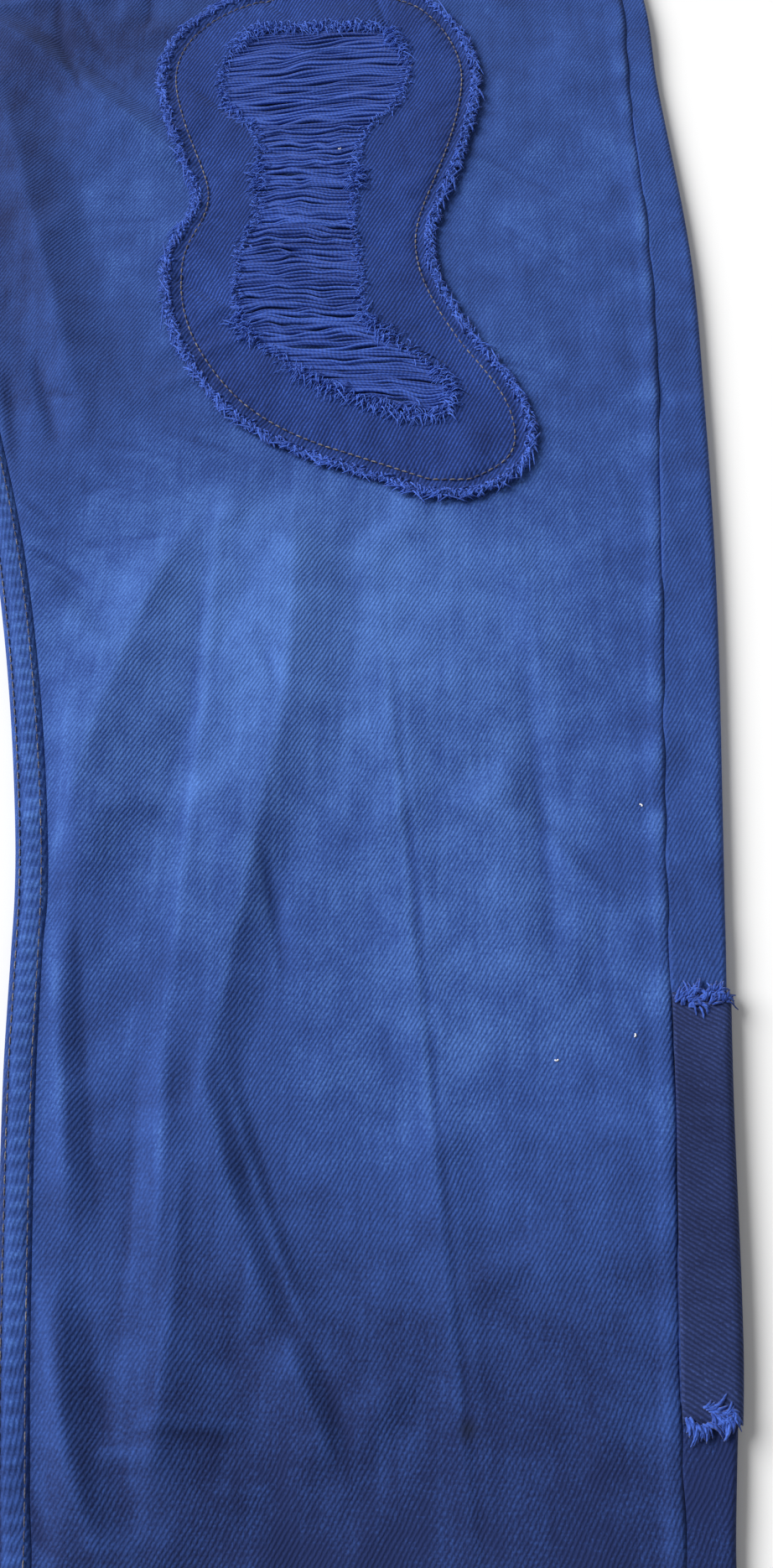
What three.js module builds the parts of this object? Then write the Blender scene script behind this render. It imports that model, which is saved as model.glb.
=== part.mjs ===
// Ripped jeans laid flat, front side up, with a frayed thigh patch whose weft threads show in a rip.
// Millimetres. X runs across the garment from its centre front, +X towards the wearer's left leg.
// Levels along Y count from the crotch, up to the waist; the group moves them so that the box is centred.
// Z is up from the surface that the back panels lie on.
import * as THREE from 'three';

// Cloth and sewing
const WALL = 1.2; // one layer of washed denim
const HEM_WALL = 1.9; // turned hem
const BAND_WALL = 2.0; // waistband, two layers
const SEAM_GAP = 0.3; // between sewn pieces
const LAID_GAP = 0.4; // under a piece that lies on a panel
const SEAM_RAISE = 0.8; // seam allowance under a seam's edge
const SEAM_EDGE = 4; // width of that raised edge
const FELL_WIDTH = 7; // felled inseam, between fold and front panel
const FELL_STUB = 0.9; // what is left of the fell at the crotch

// Levels, from the crotch
const HEM = -740;
const HEM_TOP = -727;
const FELL_END = -50;
const CURL_FULL = -12;
const CURL_HALF = -6;
const POCKET_FOOT = 95;
const YOKE_SEAM = 172;
const WAIST_SEAM = 202;
const WAIST_TOP = 240;
const SHAPE_FOOT = 60; // the waist's curve starts here
const POCKET_WIDTH = 95; // scoop opening along the waist seam
const BACK_RISE = 34; // centre back above the side
const FRONT_DIP = -14; // centre front below the side
const YOKE_VEE = 32; // point of the yoke below its side

// Heights above the surface
const LEG_TOP = 5; // two layers with a slack hollow
const WAIST_HEIGHT = 5.6; // the same over pocket facings and back pockets
const BAND_HEIGHT = 6.2; // waistband
const LIFT = 1.5; // a back panel over a piece sewn on it
const FACING_HEIGHT = 4.1; // top of a pocket facing
const FACING_WALL = 1.0;
const FACING_UNDERLAP = 10; // what a facing runs under the front

// Stretches of levels where heights change
const WAIST_RAMP = { from: 52, to: 92 }; // up to the waist's height
const POCKET_LIFT = { from: 0, to: 31 }; // the back over its pockets
const PATCH_LIFT = { from: -486, full: -471, fullTo: -338, to: -322 }; // the back over its patch

// The leg's outline by level: inseam fold, outer fold, and the back panel that shows beside the outseam
const LEG = [
  { y: -740, inner: 108, outer: 262, strip: 10 },
  { y: -600, inner: 104, outer: 265, strip: 11 },
  { y: -486, inner: 99.4, outer: 270, strip: 12 },
  { y: -440, inner: 95.2, outer: 275, strip: 14.6 },
  { y: -375, inner: 89.9, outer: 279, strip: 14.5 },
  { y: -305, inner: 85.6, outer: 284.5, strip: 16.8 },
  { y: -220, inner: 71.5, outer: 290.6, strip: 17 },
  { y: -150, inner: 52.6, outer: 293.4, strip: 15.6 },
  { y: -85, inner: 31, outer: 294.5, strip: 14.4 },
  { y: 0, inner: 0, outer: 289.5, strip: 11 },
  { y: 42, inner: 0, outer: 288, strip: 9 },
  { y: 95, inner: 0, outer: 280, strip: 8 },
  { y: 150, inner: 0, outer: 261, strip: 8 },
  { y: 202, inner: 0, outer: 236, strip: 7 },
  { y: 240, inner: 0, outer: 217, strip: 7 },
];
const LEG_BELOW_CROTCH = LEG.filter((row) => row.y <= 0);

const FOLD_FADE = { before: 0.12, within: 0.25 }; // shares of a fold's length over which its ends fade

// Folds of the left front: a crest from (x0, y0) to (x1, y1), half widths to its left and right, and its rise
const LEFT_FOLDS = [
  { name: 'inseam_ridge', x0: 117, y0: -228, x1: 95, y1: -345, left: 7, right: 10, rise: 2.4 },
  { name: 'knee_ridge', x0: 134, y0: -212, x1: 131, y1: -330, left: 9, right: 9, rise: 2.8 },
  { name: 'calf_ridge', x0: 131, y0: -315, x1: 125, y1: -440, left: 8, right: 8, rise: 2.4 },
  { name: 'knee_trough', x0: 159, y0: -244, x1: 141, y1: -360, left: 6, right: 8, rise: -0.9 },
  { name: 'slanted_fold', x0: 148, y0: -374, x1: 187, y1: -466, left: 4, right: 14, rise: 3 },
  { name: 'calf_fold', x0: 131, y0: -404, x1: 120, y1: -500, left: 6, right: 6, rise: 2.2 },
  { name: 'inseam_fold', x0: 108, y0: -425, x1: 122, y1: -520, left: 5, right: 6, rise: 1.8 },
  { name: 'pressed_crease', x0: 188, y0: -230, x1: 212, y1: -500, left: 4, right: 5, rise: 0.7 },
  { name: 'outer_trough', x0: 234, y0: -245, x1: 236, y1: -345, left: 7, right: 9, rise: -0.8 },
  { name: 'crotch_fold', x0: 48, y0: -4, x1: 90, y1: -150, left: 8, right: 10, rise: 2.2 },
];

// Folds of the right front, mirrored in use; they keep to the same kinds of place
const RIGHT_FOLDS = [
  { name: 'crotch_fold', x0: 44, y0: -8, x1: 96, y1: -170, left: 8, right: 12, rise: 2 },
  { name: 'knee_ridge', x0: 150, y0: -230, x1: 128, y1: -390, left: 9, right: 11, rise: 2.4 },
  { name: 'outer_ridge', x0: 225, y0: -270, x1: 205, y1: -420, left: 8, right: 12, rise: 1.6 },
  { name: 'calf_fold', x0: 140, y0: -430, x1: 180, y1: -560, left: 6, right: 13, rise: 2.2 },
];

// Thigh patch by level: its two edges
const PATCH = [
  { y: -189, left: 203, right: 217 },
  { y: -182, left: 187, right: 229 },
  { y: -174, left: 166, right: 235.4 },
  { y: -161, left: 144, right: 236.8 },
  { y: -144, left: 129.7, right: 232 },
  { y: -123, left: 119, right: 219 },
  { y: -101, left: 114.7, right: 208.5 },
  { y: -80, left: 116.3, right: 205 },
  { y: -66, left: 124, right: 208.5 },
  { y: -45, left: 118, right: 215.5 },
  { y: -25, left: 111.4, right: 220.5 },
  { y: 0, left: 107, right: 223.5 },
  { y: 20, left: 111.5, right: 219.5 },
  { y: 35, left: 123, right: 211 },
  { y: 44, left: 137, right: 201 },
  { y: 49, left: 156, right: 186 },
];

// The rip in it by level: where the warp is worn away
const RIP = [
  { y: -157, left: 196, right: 208 },
  { y: -147, left: 173, right: 211 },
  { y: -133, left: 154, right: 201 },
  { y: -120, left: 142, right: 184.5 },
  { y: -88, left: 140.5, right: 180.5 },
  { y: -72, left: 145.5, right: 178 },
  { y: -55, left: 145.5, right: 179 },
  { y: -28, left: 143.5, right: 182.5 },
  { y: -16, left: 132.5, right: 193 },
  { y: 5, left: 131, right: 197 },
  { y: 24, left: 142, right: 190 },
];

// Patch, threads and fray
const PATCH_SIDE_STEPS = 34;
const FRAY_GAP = 0.6; // between the patch and its fray's backing
const FRAY_STRIP = 1.6; // backing of the fray, outside the patch
const FRAY_PITCH = 8;
const FRAY_LENGTH = 4.2;
const FRAY_ROOT = 3.2;
const FRAY_TIP = 0.5;
const FRAY_LEAN = 0.6; // how far a strand leans along the edge
const FRAY_SPREAD = 0.2; // share by which strands differ in length
const THREAD_PITCH = 4; // one strand stands for a few weft threads
const THREAD_WIDTH = 2.2;
const THREAD_BACKING = 1.8;
const THREAD_END_GAP = 0.6;
const THREAD_THICK = 1.0;

// Patch on the back of the leg, which shows beside the outseam
const BACK_PATCH_FOOT = -456;
const BACK_PATCH_HEAD = -350;
const BACK_PATCH_REACH = 75; // how far it runs under the leg
const BACK_FRAY_TEETH = 3;

// Small pieces at the waist
const LOOP_WIDTH = 10;
const LOOP_THICK = 1.2;
const LOOP_FOOT = 196;
const FRONT_LOOP_X = 100;
const BACK_LOOP_X = 150;
const BUTTON_RADIUS = 8.5;
const BUTTON_X = 11;
const BACK_POCKET = { inner: 70, outer: 200, top: 152, side: 52, point: 38, thick: 1.2 };

const FABRIC = { roughness: 0.95, metalness: 0 };
const DENIM = new THREE.MeshStandardMaterial({ color: '#3e5590', ...FABRIC });
const PATCH_DENIM = new THREE.MeshStandardMaterial({ color: '#2e4584', ...FABRIC });
const BACK_PATCH_DENIM = new THREE.MeshStandardMaterial({ color: '#2f3c69', ...FABRIC });
const FRAYED_YARN = new THREE.MeshStandardMaterial({ color: '#3450a0', ...FABRIC });
const BUTTON_METAL = new THREE.MeshStandardMaterial({ color: '#6d5a3c', roughness: 0.45, metalness: 1 });

const jeans = new THREE.Group();

// Numbers: a clamped fraction, a soft step, and a cubic through a table's column
function fraction(from, to, value) {
  return Math.min(Math.max((value - from) / (to - from), 0), 1);
}

function softStep(from, to, value) {
  const t = fraction(from, to, value);
  return t * t * (3 - 2 * t);
}

function tableSlope(rows, column, k) {
  const low = rows[Math.max(k - 1, 0)];
  const high = rows[Math.min(k + 1, rows.length - 1)];
  return (high[column] - low[column]) / (high.y - low.y);
}

function along(rows, column, y) {
  const last = rows.length - 1;
  if (y <= rows[0].y) return rows[0][column];
  if (y >= rows[last].y) return rows[last][column];
  let i = 0;
  while (y > rows[i + 1].y) i += 1;
  const span = rows[i + 1].y - rows[i].y;
  const t = (y - rows[i].y) / span;
  const start = tableSlope(rows, column, i) * span;
  const end = tableSlope(rows, column, i + 1) * span;
  const rise = rows[i + 1][column] - rows[i][column];
  return rows[i][column] + t * (start + t * (3 * rise - 2 * start - end + t * (start + end - 2 * rise)));
}

// Levels in stretches, each with its own number of steps
function levels(start, stretches) {
  const list = [start];
  for (const { to, steps } of stretches) {
    const from = list[list.length - 1];
    for (let k = 1; k <= steps; k += 1) list.push(from + ((to - from) * k) / steps);
  }
  return list;
}

const CROTCH_LEVELS = [{ to: CURL_HALF, steps: 1 }, { to: 0, steps: 1 }];
// Closer where the scoop runs flat into the outseam
const SCOOP_STEPS = [0.8, 4, 11, 23, 43];
const SCOOP_RISES = [...SCOOP_STEPS, YOKE_SEAM - POCKET_FOOT];
const SCOOP_LEVELS = SCOOP_RISES.map((up) => ({ to: POCKET_FOOT + up, steps: 1 }));
const HEM_LEVELS = [{ to: HEM_TOP, steps: 1 }, { to: HEM_TOP + 0.5, steps: 1 }];
const FOLDED_STRETCH = { foot: -486, head: -200 }; // the folds below the patch
const LEFT_LEVELS = levels(HEM, [
  ...HEM_LEVELS,
  { to: FOLDED_STRETCH.foot, steps: 5 },
  { to: FOLDED_STRETCH.head, steps: 20 },
  { to: FELL_END, steps: 5 },
  { to: CURL_FULL, steps: 2 },
  ...CROTCH_LEVELS,
  { to: POCKET_FOOT, steps: 3 },
  ...SCOOP_LEVELS,
]);
const RIGHT_LEVELS = levels(HEM, [
  ...HEM_LEVELS,
  { to: FOLDED_STRETCH.head, steps: 10 },
  { to: FELL_END, steps: 3 },
  { to: CURL_FULL, steps: 1 },
  ...CROTCH_LEVELS,
  { to: POCKET_FOOT, steps: 3 },
  ...SCOOP_LEVELS,
]);

// Outline and heights by level
const outerFold = (y) => along(LEG, 'outer', y);
const innerFold = (y) => (y >= 0 ? 0 : along(LEG_BELOW_CROTCH, 'inner', y));
const outseam = (y) => outerFold(y) - along(LEG, 'strip', y);
const panelTop = (y) => LEG_TOP + (WAIST_HEIGHT - LEG_TOP) * softStep(WAIST_RAMP.from, WAIST_RAMP.to, y);
const wallAt = (y) => (y <= HEM_TOP ? HEM_WALL : WALL);

function lift(y) {
  const overPockets = softStep(POCKET_LIFT.from, POCKET_LIFT.to, y);
  const ontoPatch = softStep(PATCH_LIFT.from, PATCH_LIFT.full, y);
  const offPatch = softStep(PATCH_LIFT.fullTo, PATCH_LIFT.to, y);
  const overPatch = ontoPatch * (1 - offPatch);
  return LIFT * Math.max(overPockets, overPatch);
}

// Rows bend towards the waist: up at centre back, down at centre front, none at the outseam
function waistBend(level, x, amount) {
  const across = Math.max(1 - (x / outseam(level)) ** 2, 0);
  return amount * across * fraction(SHAPE_FOOT, WAIST_TOP, level) ** 2;
}

function yokeVee(level, x) {
  const across = Math.max(1 - Math.abs(x) / outseam(level), 0);
  const share = Math.min(fraction(SHAPE_FOOT, YOKE_SEAM, level), 1 - fraction(YOKE_SEAM, WAIST_SEAM, level));
  return YOKE_VEE * across * share;
}

const backY = (level, x) => level + waistBend(level, x, BACK_RISE) - yokeVee(level, x);
const frontY = (level, x) => level + waistBend(level, x, FRONT_DIP);

// Height of a front panel's folds: a soft crest that fades out at both ends of its line
function foldHeight(folds, x, y) {
  let height = 0;
  for (const fold of folds) {
    const dx = fold.x1 - fold.x0;
    const dy = fold.y1 - fold.y0;
    const length = Math.hypot(dx, dy);
    const t = ((x - fold.x0) * dx + (y - fold.y0) * dy) / length ** 2;
    const side = ((x - fold.x0) * dy - (y - fold.y0) * dx) / length;
    const width = side > 0 ? fold.left : fold.right;
    const start = softStep(-FOLD_FADE.before, FOLD_FADE.within, t);
    const end = softStep(-FOLD_FADE.before, FOLD_FADE.within, 1 - t);
    height += fold.rise * start * end * Math.exp(-((side / width) ** 2));
  }
  return height;
}

// A sheet with a wall: each point has an outer and an inner place, and the faces join points by index.
// Walls close the sheet along every edge that only one face uses.
function sheetGeometry(points, faces) {
  const triangles = [];
  const edges = new Map();
  const count = points.length;
  for (const face of faces) {
    for (let k = 1; k < face.length - 1; k += 1) {
      triangles.push(face[0], face[k], face[k + 1]);
      triangles.push(face[0] + count, face[k + 1] + count, face[k] + count);
    }
    face.forEach((a, k) => {
      const b = face[(k + 1) % face.length];
      edges.set(`${a},${b}`, [a, b]);
    });
  }
  for (const [a, b] of edges.values()) {
    if (edges.has(`${b},${a}`)) continue;
    triangles.push(b, a, a + count, b, a + count, b + count);
  }
  const positions = [...points.map((p) => p.outer), ...points.map((p) => p.inner)];
  if (signedVolume(positions, triangles) < 0) triangles.reverse();
  const geometry = new THREE.BufferGeometry();
  geometry.setAttribute('position', new THREE.Float32BufferAttribute(positions.flat(), 3));
  geometry.setIndex(triangles);
  geometry.computeVertexNormals();
  return geometry;
}

function signedVolume(positions, triangles) {
  let volume = 0;
  for (let i = 0; i < triangles.length; i += 3) {
    const [a, b, c] = [0, 1, 2].map((k) => new THREE.Vector3(...positions[triangles[i + k]]));
    volume += a.dot(b.cross(c)) / 6;
  }
  return volume;
}

function gridFaces(rows, columns, closed = false) {
  const faces = [];
  const spans = closed ? columns : columns - 1;
  for (let i = 0; i < rows - 1; i += 1) {
    for (let j = 0; j < spans; j += 1) {
      const next = (j + 1) % columns;
      const a = i * columns;
      const b = a + columns;
      faces.push([a + j, a + next, b + next, b + j]);
    }
  }
  return faces;
}

function addPiece(name, geometry, material) {
  const mesh = new THREE.Mesh(geometry, material);
  mesh.name = name;
  jeans.add(mesh);
}

const mirrored = (side, [x, y, z]) => [side * x, y, z];

function addSheet(name, material, side, points, faces) {
  const placed = points.map((p) => ({ outer: mirrored(side, p.outer), inner: mirrored(side, p.inner) }));
  addPiece(name, sheetGeometry(placed, faces), material);
}

// The outer part of a back section: over the strip beside the outseam, round the outer fold, to the underside
const STRIP_STEPS = 2;
const FOLD_STEPS = 3;
function outerSection(y, top, low) {
  const radius = (top - low) / 2;
  const centre = outerFold(y) - radius;
  const seam = outseam(y);
  const section = [];
  for (let k = 0; k < STRIP_STEPS; k += 1) {
    section.push({ x: seam + ((centre - seam) * k) / STRIP_STEPS, z: top, nx: 0, nz: 1 });
  }
  for (let k = 0; k <= FOLD_STEPS; k += 1) {
    const angle = Math.PI / 2 - (Math.PI * k) / FOLD_STEPS;
    const nx = Math.cos(angle);
    const nz = Math.sin(angle);
    section.push({ x: centre + radius * nx, z: low + radius + radius * nz, nx, nz });
  }
  return section;
}

// The inseam side: how far the edge has turned up, the length of its turn, and where the turn starts
function inseamTurn(y, low) {
  const radius = (panelTop(y) - low) / 2;
  const turn = Math.PI * (y <= CURL_FULL ? 1 : fraction(0, 2 * CURL_HALF, y));
  const flatLength = FELL_STUB + SEAM_GAP;
  const length = flatLength + (Math.PI * radius - flatLength) * (turn / Math.PI);
  const fell = FELL_STUB + (FELL_WIDTH - FELL_STUB) * fraction(CURL_FULL, FELL_END, y);
  const start = innerFold(y) + (turn > 0 ? radius + SEAM_GAP : length + fell + SEAM_GAP / 2);
  return { radius, turn, length, fell, start };
}

// The whole back section of one leg, from the outseam on top to the felled inseam or the centre back
const UNDERSIDE_STEPS = 3;
const FELL_STEPS = [0, 0.25, 1];
function backSection(y) {
  const low = lift(y);
  const section = outerSection(y, panelTop(y), low);
  const { turn, length, fell, start } = inseamTurn(y, low);
  const from = section[section.length - 1].x;
  for (let k = 1; k < UNDERSIDE_STEPS; k += 1) {
    section.push({ x: from + ((start - from) * k) / UNDERSIDE_STEPS, z: low, nx: 0, nz: -1 });
  }
  let x = start;
  let z = low;
  for (let k = 0; k <= FOLD_STEPS; k += 1) {
    const angle = (turn * k) / FOLD_STEPS;
    if (k > 0) {
      const middle = (turn * (k - 0.5)) / FOLD_STEPS;
      const chord = turn > 0 ? Math.sin(turn / FOLD_STEPS / 2) * 2 * (length / turn) : length / FOLD_STEPS;
      x -= chord * Math.cos(middle);
      z += chord * Math.sin(middle);
    }
    section.push({ x, z, nx: -Math.sin(angle), nz: -Math.cos(angle) });
  }
  const raise = SEAM_RAISE * fraction(CURL_FULL, FELL_END, y);
  for (const step of FELL_STEPS.slice(1)) {
    section.push({
      x: x - fell * step * Math.cos(turn),
      z: z + fell * step * Math.sin(turn) + raise,
      nx: -Math.sin(turn),
      nz: -Math.cos(turn),
      extra: raise,
    });
  }
  return section;
}

// A section's points as a row of sheet points, with the wall inwards
function sectionRow(section, level, wall) {
  return section.map(({ x, z, nx, nz, extra = 0 }) => {
    const depth = wall + extra;
    return {
      outer: [x, backY(level, x), z],
      inner: [x - nx * depth, backY(level, x), z - nz * depth],
    };
  });
}

function addBackPanel(name, side, panelLevels) {
  const rows = panelLevels.map((y) => sectionRow(backSection(y), y, wallAt(y)));
  addSheet(name, DENIM, side, rows.flat(), gridFaces(rows.length, rows[0].length));
}

// Front panel: from the felled inseam or the centre front to the outseam, cut away along the scoop pocket
function frontInner(y) {
  if (y >= 0) return SEAM_GAP / 2;
  const { turn, fell, start } = inseamTurn(y, lift(y));
  return start + fell * Math.max(-Math.cos(turn), 0) + SEAM_GAP;
}

function frontOuter(y) {
  const drop = (WAIST_SEAM - y) / (WAIST_SEAM - POCKET_FOOT);
  const scoop = y <= POCKET_FOOT ? 0 : POCKET_WIDTH * Math.sqrt(Math.max(1 - drop * drop, 0));
  return outseam(y) - SEAM_GAP - scoop;
}

function frontColumns(y, steps) {
  const from = frontInner(y);
  const to = frontOuter(y);
  const columns = [];
  const edge = to - SEAM_EDGE - 2;
  for (let k = 0; k <= steps; k += 1) {
    columns.push({ x: from + ((edge - from) * k) / steps, raise: 0 });
  }
  columns.push({ x: to - SEAM_EDGE, raise: SEAM_RAISE });
  columns.push({ x: to, raise: SEAM_RAISE });
  return columns;
}

function addFrontPanel(name, side, panelLevels, folds, steps) {
  const rows = [...panelLevels, WAIST_SEAM].map((level) => frontColumns(level, steps).map(({ x, raise }) => {
    const y = frontY(level, x);
    const low = panelTop(level) - wallAt(level) + foldHeight(folds, x, level);
    return { outer: [x, y, low + wallAt(level) + raise], inner: [x, y, low] };
  }));
  addSheet(name, DENIM, side, rows.flat(), gridFaces(rows.length, rows[0].length));
}

// Pocket facing: under the front along the scoop, and up to the outseam
function addPocketFacing(name, side) {
  const facingLevels = levels(SCOOP_LEVELS[0].to, [...SCOOP_LEVELS.slice(1), { to: WAIST_SEAM, steps: 1 }]);
  const rows = facingLevels.map((level) => {
    const edge = frontOuter(level);
    const seam = outseam(level) - SEAM_GAP;
    const columns = [
      { x: edge - FACING_UNDERLAP, z: FACING_HEIGHT },
      { x: edge + LAID_GAP, z: FACING_HEIGHT },
      { x: (edge + seam) / 2, z: (FACING_HEIGHT + WAIST_HEIGHT) / 2 },
      { x: seam, z: WAIST_HEIGHT },
    ];
    return columns.map(({ x, z }) => {
      const y = frontY(level, x);
      return { outer: [x, y, z], inner: [x, y, z - FACING_WALL] };
    });
  });
  addSheet(name, DENIM, side, rows.flat(), gridFaces(rows.length, rows[0].length));
}

// Yoke: the back between the panel and the waistband
function addYoke(name, side) {
  const yokeLevels = levels(YOKE_SEAM + SEAM_GAP, [{ to: WAIST_SEAM - SEAM_GAP, steps: 2 }]);
  const rows = yokeLevels.map((y) => sectionRow(backSection(y), y, WALL));
  addSheet(name, DENIM, side, rows.flat(), gridFaces(rows.length, rows[0].length));
}

// Waistband: one back piece from outseam to outseam round both folds, and two front pieces
const BAND_LEVELS = levels(WAIST_SEAM + SEAM_GAP, [{ to: WAIST_TOP, steps: 2 }]);
const BAND_STEPS = 8;
function addBackWaistband(name) {
  const rows = BAND_LEVELS.map((level) => {
    const right = outerSection(level, BAND_HEIGHT, LIFT);
    const left = [...right].reverse().map((p) => ({ ...p, x: -p.x, nx: -p.nx }));
    const edge = right[right.length - 1].x;
    const middle = [];
    for (let k = 1; k < BAND_STEPS; k += 1) {
      middle.push({ x: edge - (2 * edge * k) / BAND_STEPS, z: LIFT, nx: 0, nz: -1 });
    }
    return sectionRow([...right, ...middle, ...left], level, BAND_WALL);
  });
  addSheet(name, DENIM, 1, rows.flat(), gridFaces(rows.length, rows[0].length));
}

function addFrontWaistband(name, side) {
  const rows = BAND_LEVELS.map((level) => {
    const from = SEAM_GAP / 2;
    const to = outseam(level) - SEAM_GAP;
    return Array.from({ length: BAND_STEPS + 1 }, (_, k) => {
      const x = from + ((to - from) * k) / BAND_STEPS;
      const y = frontY(level, x);
      return { outer: [x, y, BAND_HEIGHT], inner: [x, y, BAND_HEIGHT - BAND_WALL] };
    });
  });
  addSheet(name, DENIM, side, rows.flat(), gridFaces(rows.length, rows[0].length));
}

// Belt loop: a flat strip over the waistband, on the front or under the back
function addBeltLoop(name, x, bendY, low) {
  const rows = [LOOP_FOOT, WAIST_SEAM, WAIST_TOP].map((level) => [-0.5, 0.5].map((half) => {
    const y = bendY(level, x);
    const across = x + half * LOOP_WIDTH;
    return { outer: [across, y, low + LOOP_THICK], inner: [across, y, low] };
  }));
  addSheet(name, DENIM, 1, rows.flat(), gridFaces(rows.length, rows[0].length));
}

// Back pocket: a flat five-sided patch under the back panel
function addBackPocket(name, side) {
  const { inner, outer, top, side: foot, point, thick } = BACK_POCKET;
  const corners = [[inner, top], [inner, foot], [(inner + outer) / 2, point], [outer, foot], [outer, top]];
  const points = corners.map(([x, y]) => ({ outer: [x, y, thick], inner: [x, y, 0] }));
  addSheet(name, DENIM, side, points, [[0, 1, 2, 3, 4]]);
}

// Shank button: a domed rim on the waistband
function addButton(name) {
  const low = BAND_HEIGHT + SEAM_GAP;
  const profile = [[0, 0], [0.55, 0], [0.7, 0.8], [1, 1], [1, 1.8], [0.85, 2.4], [0.6, 2], [0, 1.9]];
  const outline = profile.map(([r, z]) => new THREE.Vector2(r * BUTTON_RADIUS, z));
  const geometry = new THREE.LatheGeometry(outline, 20);
  geometry.rotateX(Math.PI / 2);
  geometry.translate(BUTTON_X, frontY((WAIST_SEAM + WAIST_TOP) / 2, BUTTON_X), low);
  addPiece(name, geometry, BUTTON_METAL);
}

// Height of the left front's outside, away from its raised edges
const thighHeight = (x, y) => panelTop(y) + foldHeight(LEFT_FOLDS, x, y);

function laidPoint(x, y, rise, thick) {
  const low = thighHeight(x, y) + rise;
  return { outer: [x, y, low + thick], inner: [x, y, low] };
}

// A table of two edges, sampled closer towards its ends
function sampledEdges(rows, steps) {
  const foot = rows[0].y;
  const head = rows[rows.length - 1].y;
  return Array.from({ length: steps + 1 }, (_, k) => {
    const y = foot + (head - foot) * (0.5 - Math.cos((Math.PI * k) / steps) / 2);
    return { y, left: along(rows, 'left', y), right: along(rows, 'right', y) };
  });
}

const PATCH_EDGES = sampledEdges(PATCH, PATCH_SIDE_STEPS);
const RIP_EDGES = sampledEdges(RIP, PATCH_SIDE_STEPS);

// The closed outline of such edges: up the left side and down the right
function edgeOutline(edges) {
  const left = edges.map((row) => [row.left, row.y]);
  const right = edges.map((row) => [row.right, row.y]).reverse();
  return [...left, ...right];
}

// An edge's place at a level, on the straight line between two samples
function edgeAt(edges, column, y) {
  const next = Math.max(edges.findIndex((row) => row.y >= y), 1);
  const t = fraction(edges[next - 1].y, edges[next].y, y);
  return edges[next - 1][column] + (edges[next][column] - edges[next - 1][column]) * t;
}

// Thigh patch: a ring of cloth between its edge and the rip
function addThighPatch(name) {
  const rim = edgeOutline(PATCH_EDGES);
  const hole = edgeOutline(RIP_EDGES);
  const rings = [0, 0.5, 1].map((share) => rim.map(([x, y], k) => {
    const [holeX, holeY] = hole[k];
    return laidPoint(holeX + (x - holeX) * share, holeY + (y - holeY) * share, LAID_GAP, WALL);
  }));
  addSheet(name, PATCH_DENIM, 1, rings.flat(), gridFaces(rings.length, rim.length, true));
}

// A comb: a backing strip of paired stations, and a four-sided strand on every second span of it
function combFaces(strands, closed) {
  const faces = [];
  const stations = strands * 2;
  const spans = closed ? stations : stations - 1;
  for (let k = 0; k < spans; k += 1) {
    const next = (k + 1) % stations;
    faces.push([2 * k, 2 * next, 2 * next + 1, 2 * k + 1]);
  }
  for (let i = 0; i < strands; i += 1) {
    const root = 4 * i;
    const tip = 2 * stations + 2 * i;
    faces.push([root + 1, root + 3, tip + 1, tip]);
  }
  return faces;
}

// Uneven lengths of a frayed edge's strands
const strandLength = (i) => FRAY_LENGTH * (1 - FRAY_SPREAD + FRAY_SPREAD * Math.sin(i + i * i));

// Loose weft threads across the rip, held by a strip along its left edge
function addRipThreads(name) {
  const foot = RIP[0].y + THREAD_PITCH;
  const head = RIP[RIP.length - 1].y - THREAD_PITCH;
  const strands = Math.floor((head - foot) / THREAD_PITCH);
  const backing = [];
  const tips = [];
  for (let i = 0; i < strands; i += 1) {
    for (const half of [-0.5, 0.5]) {
      const y = foot + (i + 0.5) * THREAD_PITCH + half * THREAD_WIDTH;
      const edge = edgeAt(RIP_EDGES, 'left', y) + SEAM_GAP;
      backing.push(laidPoint(edge, y, LAID_GAP, THREAD_THICK));
      backing.push(laidPoint(edge + THREAD_BACKING, y, LAID_GAP, THREAD_THICK));
      tips.push(laidPoint(edgeAt(RIP_EDGES, 'right', y) - THREAD_END_GAP, y, LAID_GAP, THREAD_THICK));
    }
  }
  addSheet(name, FRAYED_YARN, 1, [...backing, ...tips], combFaces(strands, false));
}

// Frayed rim of the thigh patch: a strip parted from its edge, with strands that point outwards
function addPatchFray(name) {
  const rim = edgeOutline(PATCH_EDGES).map(([x, y]) => new THREE.Vector3(x, y, 0));
  const curve = new THREE.CurvePath();
  rim.forEach((place, k) => curve.add(new THREE.LineCurve3(place, rim[(k + 1) % rim.length])));
  const strands = Math.round(curve.getLength() / FRAY_PITCH);
  const pitch = curve.getLength() / strands;
  const backing = [];
  const tips = [];
  for (let i = 0; i < strands; i += 1) {
    const lean = FRAY_LEAN * Math.sin(i * i);
    const reach = strandLength(i);
    for (const half of [-0.5, 0.5]) {
      const at = ((i + 0.5) * pitch + half * FRAY_ROOT) / curve.getLength();
      const place = curve.getPoint(at);
      const run = curve.getTangent(at);
      const [outX, outY] = [-run.y, run.x];
      for (const away of [FRAY_GAP, FRAY_GAP + FRAY_STRIP]) {
        backing.push(laidPoint(place.x + outX * away, place.y + outY * away, LAID_GAP, THREAD_THICK));
      }
      const inwards = half * (FRAY_TIP - FRAY_ROOT) + lean;
      const far = FRAY_GAP + FRAY_STRIP + reach;
      const tipX = place.x + outX * far + run.x * inwards;
      const tipY = place.y + outY * far + run.y * inwards;
      tips.push(laidPoint(tipX, tipY, LAID_GAP, THREAD_THICK));
    }
  }
  addSheet(name, FRAYED_YARN, 1, [...backing, ...tips], combFaces(strands, true));
}

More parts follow.
